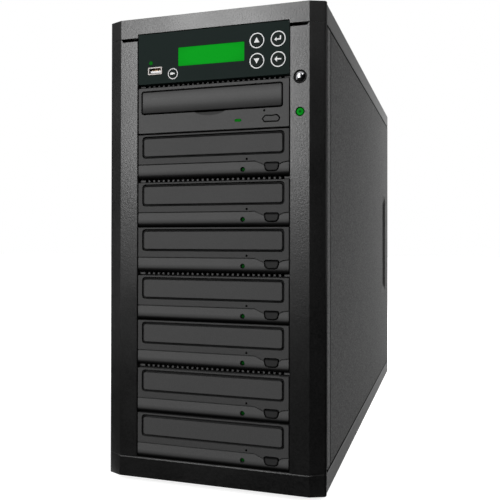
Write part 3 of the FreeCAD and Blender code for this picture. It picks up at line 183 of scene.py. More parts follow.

# Painted shade along one direction, as (millimetres from an edge, level) stops
LIP_DROP = 21.4 * MM
LIP_FADE = ((-0.4, 1.0), (-0.3, 0.3), (0.5, 0.3), (1.4, 0.1), (2.35, 0.085), (3.3, 0.135), (4.2, 0.42),
            (5.2, 0.66), (6.1, 0.8), (7.5, 1.0))
SPLIT_HEIGHT = 13.7 * MM
SPLIT_FADE = ((-0.5, 1.0), (0.3, 0.67), (31.0, 0.67), (31.5, 1.0))
SPLIT_DIP = 3.5 * MM
SPLIT_DIP_SPAN = (-9.0 * MM, -0.5 * MM)
SPLIT_BACK = 2.1 * MM
SPLIT_BACK_SPAN = (0.2 * MM, 3.2 * MM)
SEAM_ABOVE = ((-2.4, 1.0), (-1.9, 0.03))
SEAM_BELOW = ((1.9, 0.03), (2.4, 1.0))
GROOVE_FROM_FRONT = 13.0 * MM
GROOVE_FADE = ((-1.0, 1.0), (-0.6, 0.35), (2.0, 0.36), (3.0, 0.72))
EJECT_FADE = ((-1.5, 1.0), (-0.8, 0.3))

# Flange round each writer's tray door, as millimetres out from its edge and back from its face
FLANGE_SECTION = ((-0.2, 3.6), (-0.2, 2.8), (0.55, 2.8), (0.55, 1.3), (0.75, 1.1), (1.1, 1.1), (1.3, 1.3),
                  (1.3, 3.6))
DOOR_RADIUS = 2.0 * MM
CORNER_STEPS = 6

# Print on the panel and its keys
RING_GAP = 0.3 * MM
RING_STROKE = 0.95 * MM
SMALL_STROKE = 0.75 * MM
KEY_FLANGE = 0.7 * MM
PRINT_T = 0.06 * MM
PRINT_SINK = 0.04 * MM
PRINT_SHOULDER = PRINT_T / 2
RING_EASE = 0.06
SYMBOL_EASE = 0.04
RING_SEGMENTS = 72
SYMBOLS = {
    "up_button": [(-2.7, -2.0), (2.7, -2.0), (0, 2.7)],
    "down_button": [(-2.7, 2.0), (0, -2.7), (2.7, 2.0)],
    "enter_button": [(-3.4, -0.7), (-1.3, -2.6), (-1.3, -1.2), (2.9, -1.2), (2.9, 2.4), (1.8, 2.4),
                     (1.8, -0.1), (-1.3, -0.1), (-1.3, 1.2)],
    "back_button": [(-3.4, 0), (-0.8, -2.5), (-0.8, -0.6), (3.1, -0.6), (3.1, 0.6), (-0.8, 0.6),
                    (-0.8, 2.5)],
    "usb_button": [(-2.3, -1.0), (0.7, -1.0), (0.7, -0.6), (2.3, -0.6), (2.3, 0.6), (0.7, 0.6), (0.7, 1.0),
                   (-2.3, 1.0)],
}


# Materials

def grey(level):
    return (level, level, level)


def shade(colour, factor):
    return tuple(channel * factor for channel in colour)


class Surface:
    """A principled material with helpers that wire procedural detail into it."""

    def __init__(self, name, roughness, specular, metallic=0.0):
        self.material = bpy.data.materials.new(name)
        self.material.use_nodes = True
        self.tree = self.material.node_tree
        self.shader = self.tree.nodes["Principled BSDF"]
        self.set("Roughness", roughness)
        self.set("Specular IOR Level", specular)
        self.set("Metallic", metallic)
        self.place = self.add("ShaderNodeTexCoord").outputs["Object"]
        self.roughness = roughness

    def add(self, kind, **values):
        """New node with some of its inputs set."""
        node = self.tree.nodes.new(kind)
        for key, value in values.items():
            node.inputs[key].default_value = value
        return node

    def set(self, socket, value):
        """Constant on the shader's own socket."""
        self.shader.inputs[socket].default_value = value

    def link(self, output, socket):
        self.tree.links.new(output, socket)

    def noise(self, scale, detail=3.0, stretch=None):
        """Noise over the object's own space, features per metre; a stretch draws it out along an axis."""
        node = self.add("ShaderNodeTexNoise", Scale=scale, Detail=detail, Roughness=NOISE_ROUGHNESS)
        place = self.place
        if stretch:
            mapping = self.add("ShaderNodeMapping", Scale=stretch)
            self.link(place, mapping.inputs["Vector"])
            place = mapping.outputs["Vector"]
        self.link(place, node.inputs["Vector"])
        return node.outputs["Fac"]

    def ramp(self, factor, stops, steps="LINEAR"):
        """Colour ramp through (position, colour) stops."""
        node = self.add("ShaderNodeValToRGB")
        node.color_ramp.interpolation = steps
        elements = node.color_ramp.elements
        while len(elements) < len(stops):
            elements.new(0.5)
        for element, (position, colour) in zip(elements, stops):
            element.position = position
            element.color = (*colour, 1)
        self.link(factor, node.inputs["Fac"])
        return node.outputs["Color"]

    def levels(self, factor, stops):
        """Grey ramp through (position, level) stops."""
        return self.ramp(factor, [(position, grey(level)) for position, level in stops])

    def two_tone(self, grain, colour, contrast):
        """Colour that a grain makes darker and lighter."""
        dark, light = shade(colour, 1 - contrast), shade(colour, 1 + contrast)
        return self.ramp(grain, [(GRAIN_LOW, dark), (GRAIN_HIGH, light)])

    def mix(self, kind, first, second):
        """Node that mixes two colours in full."""
        node = self.add("ShaderNodeMix")
        node.data_type = "RGBA"
        node.blend_type = kind
        node.inputs["Factor"].default_value = 1.0
        self.link(first, node.inputs[MIX_FIRST])
        self.link(second, node.inputs[MIX_SECOND])
        return node

    def blend(self, factor, first, second):
        """The first colour where a factor is 0 and the second where it is 1."""
        node = self.mix("MIX", first, second)
        self.link(factor, node.inputs["Factor"])
        return node.outputs[MIX_RESULT]

    def multiply(self, first, second):
        """Product of two colours."""
        return self.mix("MULTIPLY", first, second).outputs[MIX_RESULT]

    def math(self, operation, first, second=0.0):
        """Math node on an output and another output or a number."""
        node = self.add("ShaderNodeMath")
        node.operation = operation
        self.link(first, node.inputs[0])
        if isinstance(second, float):
            node.inputs[1].default_value = second
        else:
            self.link(second, node.inputs[1])
        return node.outputs[0]

    def vector_math(self, operation, first, second=None):
        """Vector math node on an output and perhaps a vector or another output."""
        node = self.add("ShaderNodeVectorMath")
        node.operation = operation
        self.link(first, node.inputs[0])
        if isinstance(second, Vector):
            node.inputs[1].default_value = second
        elif second is not None:
            self.link(second, node.inputs[1])
        return node.outputs["Value" if operation in ("LENGTH", "DOT_PRODUCT") else "Vector"]

    def axis(self, vector, letter):
        """One coordinate of a vector."""
        node = self.add("ShaderNodeSeparateXYZ")
        self.link(vector, node.inputs["Vector"])
        return node.outputs[letter]

    def inside(self, low, high):
        """1 within a box of the object's own space."""
        from_middle = self.vector_math("SUBTRACT", self.place, (low + high) / 2)
        share = self.vector_math("ABSOLUTE", self.vector_math("DIVIDE", from_middle, (high - low) / 2))
        x, y, z = [self.axis(share, letter) for letter in "XYZ"]
        widest = self.math("MAXIMUM", x, self.math("MAXIMUM", y, z))
        return self.math("LESS_THAN", widest, 1.0)

    def on_front(self, middle, half_w, half_h):
        """Place across the front, from a middle, in half widths and half heights."""
        mapping = self.add("ShaderNodeMapping", Scale=(1 / half_w, 0, 1 / half_h),
                           Location=(-middle.x / half_w, 0, -middle.z / half_h))
        self.link(self.place, mapping.inputs["Vector"])
        return mapping.outputs["Vector"]

    def spread(self, value, before, after):
        """Maps a value from one range to another."""
        node = self.add("ShaderNodeMapRange", **{"From Min": before[0], "From Max": before[1],
                                                "To Min": after[0], "To Max": after[1]})
        self.link(value, node.inputs["Value"])
        return node.outputs["Result"]

    def normal(self):
        return self.add("ShaderNodeNewGeometry").outputs["Normal"]

    def bevelled(self, radius, samples):
        """Normal over edges rounded by a radius."""
        bevel = self.add("ShaderNodeBevel", Radius=radius)
        bevel.samples = samples
        return bevel.outputs["Normal"]

    def colour(self, output):
        self.link(output, self.shader.inputs["Base Color"])

    def glow(self, output, strength):
        """Colour that also shines."""
        self.colour(output)
        self.link(output, self.shader.inputs["Emission Color"])
        self.set("Emission Strength", strength)

    def vary_roughness(self):
        """Roughness that wanders a little about its mean."""
        wander = (self.roughness - WANDER, self.roughness + WANDER)
        level = self.spread(self.noise(WANDER_SCALE, detail=2.0), WANDER_RANGE, wander)
        self.link(level, self.shader.inputs["Roughness"])

    def relief(self, height, depth, edge):
        """Fine relief from a height, over edges rounded by a small radius."""
        bump = self.add("ShaderNodeBump", Strength=RELIEF_STRENGTH, Distance=depth)
        self.link(height, bump.inputs["Height"])
        if edge:
            self.link(self.bevelled(edge, EDGE_SAMPLES), bump.inputs["Normal"])
        self.link(bump.outputs["Normal"], self.shader.inputs["Normal"])


def grained(name, colour, contrast, scale, roughness, specular, depth=0.01 * MM, edge=0.3 * MM,
            metallic=0.0, stretch=None, shades=(), smooth=None):
    """Coat or moulding with a fine grain in colour and relief; painted shades darken it, smooth takes relief
    off.
    """
    surface = Surface(name, roughness, specular, metallic)
    grain = surface.noise(scale, stretch=stretch)
    tint = surface.two_tone(grain, colour, contrast)
    for shade_of in shades:
        tint = surface.multiply(tint, shade_of(surface))
    surface.colour(tint)
    surface.vary_roughness()
    height = surface.math("MULTIPLY", grain, smooth(surface)) if smooth else grain
    surface.relief(height, depth, edge)
    return surface.material


# Painted shade, and smoothness, by place on the object

def smooth_sides(surface):
    """Share of the relief that is left: little on faces turned to the left or right."""
    turned = surface.math("ABSOLUTE", surface.axis(surface.normal(), "X"))
    return surface.spread(turned, SIDE_TURN, SIDE_RELIEF)


def banded(surface, value, edge, stops):
    """Painted shade by how far a coordinate lies past an edge, through (millimetres, level) stops."""
    first, last = stops[0][0], stops[-1][0]
    share = surface.spread(value, (edge + first * MM, edge + last * MM), (0.0, 1.0))
    return surface.levels(share, [((along - first) / (last - first), level) for along, level in stops])


def on_writers(surface, height, rise, stops):
    """The same painted shade on every writer's bezel, measured up from its foot."""
    feet = [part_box(drive + "_tray_door")[0].z - LIP_DROP for drive in WRITERS]
    return reduce(surface.multiply, [banded(surface, height, foot + rise, stops) for foot in feet])


def lip_fade(surface):
    """Painted shade that gathers towards the foot of each writer's bezel, where its lip turns under."""
    return on_writers(surface, surface.axis(surface.place, "Z"), 0.0, LIP_FADE)


def split_shade(surface):
    """Painted shade: a darker face above each writer's split line, which dips at the eject button and comes
    part way back.
    """
    low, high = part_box("writer_1_eject_button")
    across = surface.axis(surface.place, "X")
    dip = surface.spread(across, [low.x + reach for reach in SPLIT_DIP_SPAN], (0.0, SPLIT_DIP))
    back = surface.spread(across, [high.x + reach for reach in SPLIT_BACK_SPAN], (0.0, SPLIT_BACK))
    lowered = surface.math("ADD", surface.axis(surface.place, "Z"), surface.math("SUBTRACT", dip, back))
    return on_writers(surface, lowered, SPLIT_HEIGHT, SPLIT_FADE)


def panel_seam_shade(surface):
    """Painted shade: dark lines along a side panel's upper and lower seams and in the groove behind its
    front margin, and the panel darker behind the groove than its margin.
    """
    low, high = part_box("right_side_panel")
    height = surface.axis(surface.place, "Z")
    depth = surface.axis(surface.place, "Y")
    seams = surface.multiply(banded(surface, height, high.z, SEAM_ABOVE),
                             banded(surface, height, low.z, SEAM_BELOW))
    return surface.multiply(seams, banded(surface, depth, low.y + GROOVE_FROM_FRONT, GROOVE_FADE))


def finger_notch_shade(surface):
    """Painted shade in the shallow notch under the reader's door."""
    low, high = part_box("reader_tray_door")
    foot = Vector(((low.x + high.x) / 2, 0, low.z))
    return surface.levels(surface.vector_math("LENGTH", surface.on_front(foot, *NOTCH_HALF)), NOTCH_FADE)


def below_top(node, stops):
    """Painted shade down from a node's upper edge."""
    def shade_of(surface):
        return banded(surface, surface.axis(surface.place, "Z"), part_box(node)[1].z, stops)
    return shade_of


def underside_shade(surface):
    """Painted shade on faces that look down."""
    return surface.spread(surface.axis(surface.normal(), "Z"), UNDER_TURN, (UNDER_LEVEL, 1.0))


def dark_rim(width):
    """Painted shade along the outer edges of faces, over a width."""
    def shade_of(surface):
        same = surface.vector_math("DOT_PRODUCT", surface.bevelled(width, RIM_SAMPLES), surface.normal())
        return surface.spread(same, RIM_TURN, (RIM_LEVEL, 1.0))
    return shade_of


def reader_door_shade(surface):
    """Painted shade of the reader's bowed door, darkest along its lower edge."""
    low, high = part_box("reader_tray_door")
    height = surface.spread(surface.axis(surface.place, "Z"), (low.z, high.z), (0.0, 1.0))
    return surface.levels(height, READER_DOOR_FADE)


def levels_of(node):
    """Height ranges of a node's separate strips, from the bottom up."""
    ranges = []
    for height in sorted({round(vertex.co.z, 6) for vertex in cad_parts[node].data.vertices}):
        if ranges and height - ranges[-1][1] < STRIP_GAP:
            ranges[-1][1] = height
        else:
            ranges.append([height, height])
    return ranges


# Materials that are more than a grain

def vent_plastic(name, rail, lit_bar_colour):
    """Black strips whose bars, proud of the rails above and below them, carry painted light, lighter than
    the rails.
    """
    surface = Surface(name, roughness=0.55, specular=0.075)
    height = surface.axis(surface.place, "Z")
    reader_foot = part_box("reader_bezel")[0].z
    zones = []
    for low, high in levels_of("vent_strips"):
        on_top = low > reader_foot
        foot = low + (TOP_VENT_FOOT if on_top else VENT_FOOT)
        head = high - (TOP_VENT_HEAD if on_top else VENT_HEAD)
        from_middle = surface.math("ABSOLUTE", surface.math("SUBTRACT", height, (foot + head) / 2))
        zones.append(surface.math("LESS_THAN", from_middle, (head - foot) / 2))
    bars = reduce(partial(surface.math, "MAXIMUM"), zones)
    grain = surface.noise(scale=1800.0)
    dark = surface.two_tone(grain, rail, contrast=0.2)
    light = surface.two_tone(grain, lit_bar_colour, contrast=0.2)
    surface.colour(surface.blend(bars, dark, light))
    surface.relief(grain, depth=0.02 * MM, edge=0.2 * MM)
    return surface.material


def inlet_plastic(name, plastic, pin_metal):
    """Black inlet moulding whose three pins are bright metal."""
    surface = Surface(name, roughness=0.48, specular=0.4)
    low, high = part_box("mains_inlet")
    middle = (low + high) / 2
    half_w, half_h = PIN_FIELD[0] / 2, PIN_FIELD[1] / 2
    level = middle.z - PIN_FIELD_DROP
    pins = surface.inside(Vector((middle.x - half_w, high.y - PIN_FIELD_IN[1], level - half_h)),
                          Vector((middle.x + half_w, high.y - PIN_FIELD_IN[0], level + half_h)))
    grain = surface.noise(scale=2200.0)
    body = surface.two_tone(grain, plastic, contrast=0.15)
    bright = surface.two_tone(grain, pin_metal, contrast=0.06)
    surface.colour(surface.blend(pins, body, bright))
    surface.link(pins, surface.shader.inputs["Metallic"])
    surface.relief(grain, depth=0.02 * MM, edge=0.3 * MM)
    return surface.material


def lamp_lens(name, tiers, pillar, glow):
    """Green lens: a tint from each height up, and one for the pillar's lamp, dark in its middle."""
    surface = Surface(name, roughness=0.5, specular=0.012)
    pillar_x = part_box("bezel_right_pillar")[0].x
    on_pillar = surface.math("GREATER_THAN", surface.axis(surface.place, "X"), pillar_x)
    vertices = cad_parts["indicator_lamps"].data.vertices
    spots = [vertex.co for vertex in vertices if vertex.co.x > pillar_x]
    middle = Vector([(min(part) + max(part)) / 2 for part in zip(*spots)])
    reach = surface.vector_math("LENGTH", surface.on_front(middle, LAMP_R, LAMP_R))
    bright = surface.ramp(reach, [(position, shade(pillar, level)) for position, level in LAMP_FADE])
    tiered = surface.ramp(surface.axis(surface.place, "Z"), tiers, "CONSTANT")
    cloud = surface.levels(surface.noise(scale=900.0, detail=1.0), LENS_CLOUD)
    surface.glow(surface.multiply(surface.blend(on_pillar, tiered, bright), cloud), glow)
    return surface.material


def display(name, colour, glow):
    """Lit display behind a clear window: a soft fall-off to its edges and a faint dot matrix."""
    surface = Surface(name, roughness=0.3, specular=0.002)
    low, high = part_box("lcd_window")
    reach = (high - low) / 2 / DISPLAY_SPREAD
    falloff = surface.add("ShaderNodeTexGradient")
    falloff.gradient_type = "SPHERICAL"
    surface.link(surface.on_front((low + high) / 2, reach.x, reach.z), falloff.inputs["Vector"])
    edge = shade(colour, DISPLAY_EDGE)
    field = surface.ramp(falloff.outputs["Fac"], [(0.0, edge), (DISPLAY_FULL, colour)])
    dots = surface.add("ShaderNodeTexVoronoi", Scale=1600.0, Randomness=0.0)
    surface.link(surface.place, dots.inputs["Vector"])
    cells = surface.levels(dots.outputs["Distance"], DISPLAY_CELLS)
    surface.glow(surface.multiply(field, cells), glow)
    return surface.material


# Families of grained materials

def front_paint(name, edge):
    """Speckled black coat of the moulded front."""
    return grained(name, grey(0.0053), contrast=0.8, scale=720.0, roughness=0.34, specular=0.48,
                   depth=0.26 * MM, edge=edge, smooth=smooth_sides)


def case_paint(name, level, **values):
    """Speckled grey coat of the case's sheet steel."""
    return grained(name, grey(level), contrast=0.5, scale=620.0, roughness=0.8, specular=0.075,
                   depth=0.1 * MM, edge=0.4 * MM, **values)


def drive_plastic(name, level, **values):
    """Fine-grained grey of the drives' fronts."""
    return grained(name, grey(level), contrast=0.15, scale=2200.0, roughness=0.62, specular=0.08,
                   depth=0.02 * MM, **values)


def eject_plastic(drive):
    """Darker grey of a writer's eject button, with painted shade, darkest along its edges and below its top.
    """
    return drive_plastic(drive + "_eject_plastic", 0.024, edge=0.6 * MM,
                         shades=[dark_rim(1.9 * MM), below_top(drive + "_eject_button", EJECT_FADE)])


def metal(name, colour, contrast, scale, roughness, depth, **values):
    """Bare or plated metal."""
    return grained(name, colour, contrast, scale, roughness, specular=0.5, depth=depth, metallic=1.0,
                   **values)


def brushed_steel(name, colour, contrast, roughness):
    """Sheet steel whose grain is drawn out from front to rear."""
    return metal(name, colour, contrast, scale=90.0, roughness=roughness, depth=0.01 * MM,
                 stretch=BRUSHED)


FRONT_PAINT = front_paint("front_paint", 0.5 * MM)
BOTTOM_PAINT = front_paint("bottom_paint", 0.9 * MM)
CASE_PAINT = case_paint("case_paint", 0.087)
# Side panels carry painted shade in their seams and groove; behind the groove the panel is darker than its
# margin
SIDE_PAINT = case_paint("side_paint", 0.119, shades=[panel_seam_shade])
STRIP_PAINT = grained("case_strip_paint", grey(0.148), contrast=0.25, scale=1300.0, roughness=0.75,
                      specular=0.12, depth=0.05 * MM, edge=0.5 * MM)
# Drive plastics with painted shade: under the writers' lips, above their split lines, on faces that look
# down, along the edges of doors and eject buttons, in the reader's notch and over its door
DRIVE_PLASTIC = drive_plastic("drive_plastic", 0.072, edge=0.35 * MM,
                              shades=[underside_shade, lip_fade, split_shade])
DOOR_PLASTIC = drive_plastic("door_plastic", 0.055, edge=1.2 * MM, shades=[dark_rim(1.5 * MM)])
# The flange is coloured far darker than the door plastic: painted shade for the slot round each door
SHADED_FLANGE_PLASTIC = drive_plastic("flange_plastic", 0.014, edge=0.2 * MM)
READER_PLASTIC = drive_plastic("reader_plastic", 0.068, shades=[finger_notch_shade])
READER_DOOR_PLASTIC = drive_plastic("reader_door_plastic", 0.085, edge=1.0 * MM,
                                    shades=[dark_rim(0.8 * MM), reader_door_shade])
READER_EJECT_PLASTIC = drive_plastic("reader_eject_plastic", 0.062, edge=0.6 * MM,
                                     shades=[dark_rim(1.2 * MM)])
VENT_PLASTIC = vent_plastic("vent_plastic", grey(0.0045), grey(0.08))
PANEL_FILM = grained("panel_film", (0.0112, 0.0172, 0.0157), contrast=0.1, scale=2600.0,
                     roughness=0.45, specular=0.009)
KEY_PLASTIC = grained("key_plastic", (0.012, 0.0165, 0.015), contrast=0.12, scale=2400.0,
                      roughness=0.45, specular=0.012)
TRAY_PLASTIC = grained("tray_plastic", (0.05, 0.05, 0.051), contrast=0.15, scale=2000.0,
                       roughness=0.5, specular=0.4, depth=0.02 * MM)
RING_PLASTIC = grained("ring_plastic", grey(0.0075), contrast=0.1, scale=2000.0,
                       roughness=0.3, specular=0.12, depth=0.005 * MM)
FAN_PLASTIC = grained("fan_plastic", grey(0.024), contrast=0.15, scale=1800.0,
                      roughness=0.45, specular=0.4, depth=0.02 * MM)
INLET_PLASTIC = inlet_plastic("inlet_plastic", grey(0.02), (0.6, 0.58, 0.55))
ROCKER_PLASTIC = grained("rocker_plastic", grey(0.02), contrast=0.1, scale=2000.0,
                         roughness=0.28, specular=0.5)
TONGUE_PLASTIC = grained("tongue_plastic", (0.72, 0.71, 0.72), contrast=0.06, scale=2000.0,
                         roughness=0.5, specular=0.4)
BOARD_MASK = grained("circuit_board", (0.02, 0.11, 0.045), contrast=0.25, scale=700.0, roughness=0.35,
                     specular=0.5, depth=0.02 * MM)
RUBBER = grained("foot_rubber", grey(0.025), contrast=0.25, scale=1600.0, roughness=0.8, specular=0.25,
                 depth=0.04 * MM)
WHITE_PRINT = grained("white_print", grey(0.66), contrast=0.06, scale=3000.0, roughness=0.5, specular=0.3,
                      depth=0.005 * MM, edge=0.0)
CHROME = metal("button_chrome", (0.34, 0.34, 0.35), contrast=0.04, scale=500.0, roughness=0.1,
               depth=0.002 * MM)
PORT_METAL = metal("port_metal", (0.19, 0.18, 0.172), contrast=0.1, scale=900.0, roughness=0.5,
                   depth=0.004 * MM)
CONTACT_GOLD = metal("contact_gold", (0.66, 0.48, 0.3), contrast=0.08, scale=900.0, roughness=0.45,
                     depth=0.004 * MM)
SCREW_METAL = metal("screw_metal", (0.54, 0.54, 0.55), contrast=0.08, scale=700.0, roughness=0.28,
                    depth=0.005 * MM)
ZINC = brushed_steel("zinc_steel", (0.48, 0.48, 0.49), contrast=0.12, roughness=0.42)
DARK_STEEL = brushed_steel("drive_steel", grey(0.24), contrast=0.15, roughness=0.5)
LENS_TIERS = [(0.0, (0.0007, 0.03, 0.0028)), (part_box("reader_bezel")[0].z, (0.0014, 0.104, 0.0042))]
LENS = lamp_lens("green_lens", LENS_TIERS, pillar=(0.0028, 0.22, 0.011), glow=0.35)
DISPLAY = display("green_display", (0.0019, 0.178, 0.0077), glow=1.0)

NODE_MATERIALS = {
    "base_pan": STRIP_PAINT, "top_cover": STRIP_PAINT, "rear_panel": CASE_PAINT,
    "left_side_panel": SIDE_PAINT, "right_side_panel": SIDE_PAINT, "drive_cage": ZINC,
    "bezel_top_cap": FRONT_PAINT, "bezel_bottom_cap": BOTTOM_PAINT,
    "bezel_left_pillar": FRONT_PAINT, "bezel_right_pillar": FRONT_PAINT,
    "vent_strips": VENT_PLASTIC, "control_panel": PANEL_FILM, "lcd_window": DISPLAY,
    "controller_board": BOARD_MASK, "usb_port": PORT_METAL, "usb_tongue": TONGUE_PLASTIC,
    "power_button": CHROME, "power_button_ring": RING_PLASTIC, "indicator_lamps": LENS,
    "power_supply": ZINC, "fan_frames": FAN_PLASTIC, "case_fan_rotor": FAN_PLASTIC,
    "power_supply_fan_rotor": FAN_PLASTIC, "mains_inlet": INLET_PLASTIC, "rocker_switch": ROCKER_PLASTIC,
    "rubber_feet": RUBBER, "left_thumb_screws": SCREW_METAL, "right_thumb_screws": SCREW_METAL,
    "drive_housings": DARK_STEEL, "reader_bezel": READER_PLASTIC, "writer_bezels": DRIVE_PLASTIC,
    "reader_tray_door": READER_DOOR_PLASTIC, "reader_eject_button": READER_EJECT_PLASTIC,
}
for key in KEYS:
    NODE_MATERIALS[key] = KEY_PLASTIC
for drive in DRIVES:
    NODE_MATERIALS[drive + "_tray"] = TRAY_PLASTIC
for drive in WRITERS:
    NODE_MATERIALS[drive + "_tray_door"] = DOOR_PLASTIC
    NODE_MATERIALS[drive + "_eject_button"] = eject_plastic(drive)
for name, material in NODE_MATERIALS.items():
    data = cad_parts[name].data
    data.materials.clear()
    data.materials.append(material)


# Mesh building

def mesh_object(name, bm, material):
    """Object in the scene with a built mesh."""
    mesh = bpy.data.meshes.new(name)
    bm.to_mesh(mesh)
    bm.free()
    mesh.materials.append(material)
    obj = bpy.data.objects.new(name, mesh)
    scene.collection.objects.link(obj)
    return obj


def piece(name, bm, material, body):
    """Turns a built mesh into a piece of the object that rides on a body."""
    bmesh.ops.recalc_face_normals(bm, faces=bm.faces)
    obj = mesh_object(name, bm, material)
    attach(obj, body)
    return obj


def lathe(bm, profile, place, segments, knurl_over=math.inf):
    """Turns (radius, along) points about an axis; rings wider than a limit are knurled."""
    rings = []
    for radius, along in profile:
        ring = []
        for i in range(segments):
            angle = 2 * math.pi * i / segments
            reach = radius - KNURL_DEPTH * (i % 2) if radius > knurl_over else radius
            point = Vector((reach * math.cos(angle), reach * math.sin(angle), along))
            ring.append(bm.verts.new(place @ point))
        rings.append(ring)
    return rings


def cross_recess(bm, place, radius, along, depth, segments):
    """Rings of a screw head's end, from a radius inwards, sunk along a cross."""
    arm = radius * CROSS_ARM
    rings = []
    for share in CROSS_RINGS:
        ring = []
        for i in range(segments):
            angle = 2 * math.pi * i / segments
            x, y = radius * share * math.cos(angle), radius * share * math.sin(angle)
            in_arm = min(abs(x), abs(y)) < arm and share < CROSS_REACH
            ring.append(bm.verts.new(place @ Vector((x, y, along - depth * in_arm))))
        rings.append(ring)
    return rings


def skin(bm, rings, closed=False):
    """Joins rings of vertices by faces; closed joins the last to the first, or else the ends are capped."""
    pairs = list(zip(rings, rings[1:]))
    if closed:
        pairs.append((rings[-1], rings[0]))
    for a, b in pairs:
        for i in range(len(a)):
            following = (i + 1) % len(a)
            bm.faces.new((a[i], a[following], b[following], b[i]))
    if not closed:
        bm.faces.new(rings[0][::-1])
        bm.faces.new(rings[-1])


def facing(place, direction):
    """Matrix that sets a form at a place, with its own Z along a direction."""
    turn = Vector((0, 0, 1)).rotation_difference(Vector(direction)).to_matrix().to_4x4()
    return Matrix.Translation(place) @ turn


def front_of(node):
    """Middle of a node's front face."""
    low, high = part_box(node)
    return Vector(((low.x + high.x) / 2, low.y, (low.z + high.z) / 2))


def flat_ring(bm, place, inner, outer):
    """Thin printed ring with eased edges that stands a little proud of what it is on."""
    ease = (outer - inner) * RING_EASE
    profile = [(inner, -PRINT_SINK), (inner, PRINT_SHOULDER), (inner + ease, PRINT_T),
               (outer - ease, PRINT_T), (outer, PRINT_SHOULDER), (outer, -PRINT_SINK)]
    skin(bm, lathe(bm, profile, place, RING_SEGMENTS), closed=True)


def flat_symbol(bm, place, outline):
    """Thin printed symbol, from an outline in millimetres, with its edges eased."""
    centre = Vector((sum(x for x, y in outline), sum(y for x, y in outline), 0)) / len(outline)
    rings = []
    for inset, height in ((0.0, -PRINT_SINK), (0.0, PRINT_SHOULDER), (SYMBOL_EASE, PRINT_T)):
        ring = []
        for x, y in outline:
            point = Vector((x, y, 0)).lerp(centre, inset) * MM
            ring.append(bm.verts.new(place @ (point + Vector((0, 0, height)))))
        rings.append(ring)
    skin(bm, rings)


# Panel print, key symbols and port contacts

def panel_print():
    """White rings on the panel round its keys."""
    bm = bmesh.new()
    panel_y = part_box("control_panel")[0].y
    for key in KEYS:
        low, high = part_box(key)
        middle = front_of(key)
        middle.y = panel_y
        inner = (high.x - low.x) / 2 - KEY_FLANGE + RING_GAP
        stroke = SMALL_STROKE if key == "usb_button" else RING_STROKE
        flat_ring(bm, facing(middle, (0, -1, 0)), inner, inner + stroke)
    piece("panel_key_rings", bm, WHITE_PRINT, "case")


def key_symbols():
    """A white symbol on each key."""
    for key, outline in SYMBOLS.items():
        bm = bmesh.new()
        flat_symbol(bm, facing(front_of(key), (0, -1, 0)), outline)
        piece(key + "_symbol", bm, WHITE_PRINT, key + "_key")


def bar(bm, section, x0, x1):
    """Bar along X with a (y, z) section."""
    skin(bm, [[bm.verts.new((x, y, z)) for y, z in section] for x in (x0, x1)])


def usb_contacts():
    """Gilt spring contacts along the top of the port's tongue, bowed up behind its front."""
    bm = bmesh.new()
    low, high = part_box("usb_tongue")
    front, top = low.y + CONTACT_T, high.z - CONTACT_T
    line = [(front + CONTACT_BOW_L * along, top + CONTACT_BOW * up) for along, up in CONTACT_LINE]
    line.append((high.y - CONTACT_T, top))
    section = line + [(y, z + 2 * CONTACT_T) for y, z in reversed(line)]
    for place in CONTACT_PLACES:
        x = (low.x + high.x) / 2 + place * MM
        bar(bm, section, x - CONTACT_W / 2, x + CONTACT_W / 2)
    piece("usb_contacts", bm, CONTACT_GOLD, "case")


def rocker_faces():
    """Middle and normal of the rocker's two broad outer faces, the upper one first."""
    groups = {}
    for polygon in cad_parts["rocker_switch"].data.polygons:
        if polygon.normal.y > ROCKER_OUTWARD:
            key = tuple(round(part, 2) for part in polygon.normal)
            area, total = groups.get(key, (0.0, Vector()))
            groups[key] = (area + polygon.area, total + polygon.center * polygon.area)
    broad = sorted(groups.items(), key=lambda item: item[1][0])[-2:]
    faces = [(total / area, Vector(normal)) for normal, (area, total) in broad]
    return sorted(faces, key=lambda face: -face[0].z)


def rocker_marks():
    """White line and circle for on and off."""
    bm = bmesh.new()
    upper, lower = [facing(*face) for face in rocker_faces()]
    half_w, half_h = ROCKER_LINE[0] / 2, ROCKER_LINE[1] / 2
    flat_symbol(bm, upper, [(-half_w, -half_h), (half_w, -half_h), (half_w, half_h), (-half_w, half_h)])
    flat_ring(bm, lower, *ROCKER_CIRCLE)
    piece("rocker_marks", bm, WHITE_PRINT, "rocker")


# Screws at the rear

def thumb_screws(side):
    """Knurled thumb screws of a side panel, with a cross recess."""
    node = side + "_thumb_screws"
    low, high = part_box(node)
    radius = (high.x - low.x) / 2
    length = high.y - low.y
    head = length - THUMB_HEAD_L
    ease = radius * THUMB_EASE
    profile = [(THUMB_SHANK_R * THUMB_TIP_R, 0), (THUMB_SHANK_R, THUMB_SHANK_R * THUMB_TIP_L),
               (THUMB_SHANK_R, head), (radius * THUMB_NECK, head), (radius - ease, head + ease),
               (radius, head + 2 * ease), (radius, length - 2 * ease), (radius - ease, length - ease),
               (radius * THUMB_FACE, length)]
    bm = bmesh.new()
    for z in (low.z + radius, high.z - radius):
        place = facing(Vector(((low.x + high.x) / 2, low.y, z)), (0, 1, 0))
        rings = lathe(bm, profile, place, THUMB_SEGMENTS, knurl_over=radius * THUMB_KNURL_FROM)
        rings += cross_recess(bm, place, radius, length, radius * THUMB_RECESS, THUMB_SEGMENTS)
        skin(bm, rings)
    screws = piece(side + "_knurled_screws", bm, SCREW_METAL, side + "_panel")
    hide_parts(node)


def pan_screw(bm, place, radius):
    """Pan-head screw that sits on a face, with a cross recess."""
    height = radius * PAN_HEIGHT
    profile = [(radius * PAN_FOOT, -PRINT_SINK)]
    profile += [(radius * out, height * up) for out, up in PAN_PROFILE]
    rings = lathe(bm, profile, place, SCREW_SEGMENTS)
    rings += cross_recess(bm, place, radius, height, radius * PAN_RECESS, SCREW_SEGMENTS)
    skin(bm, rings)


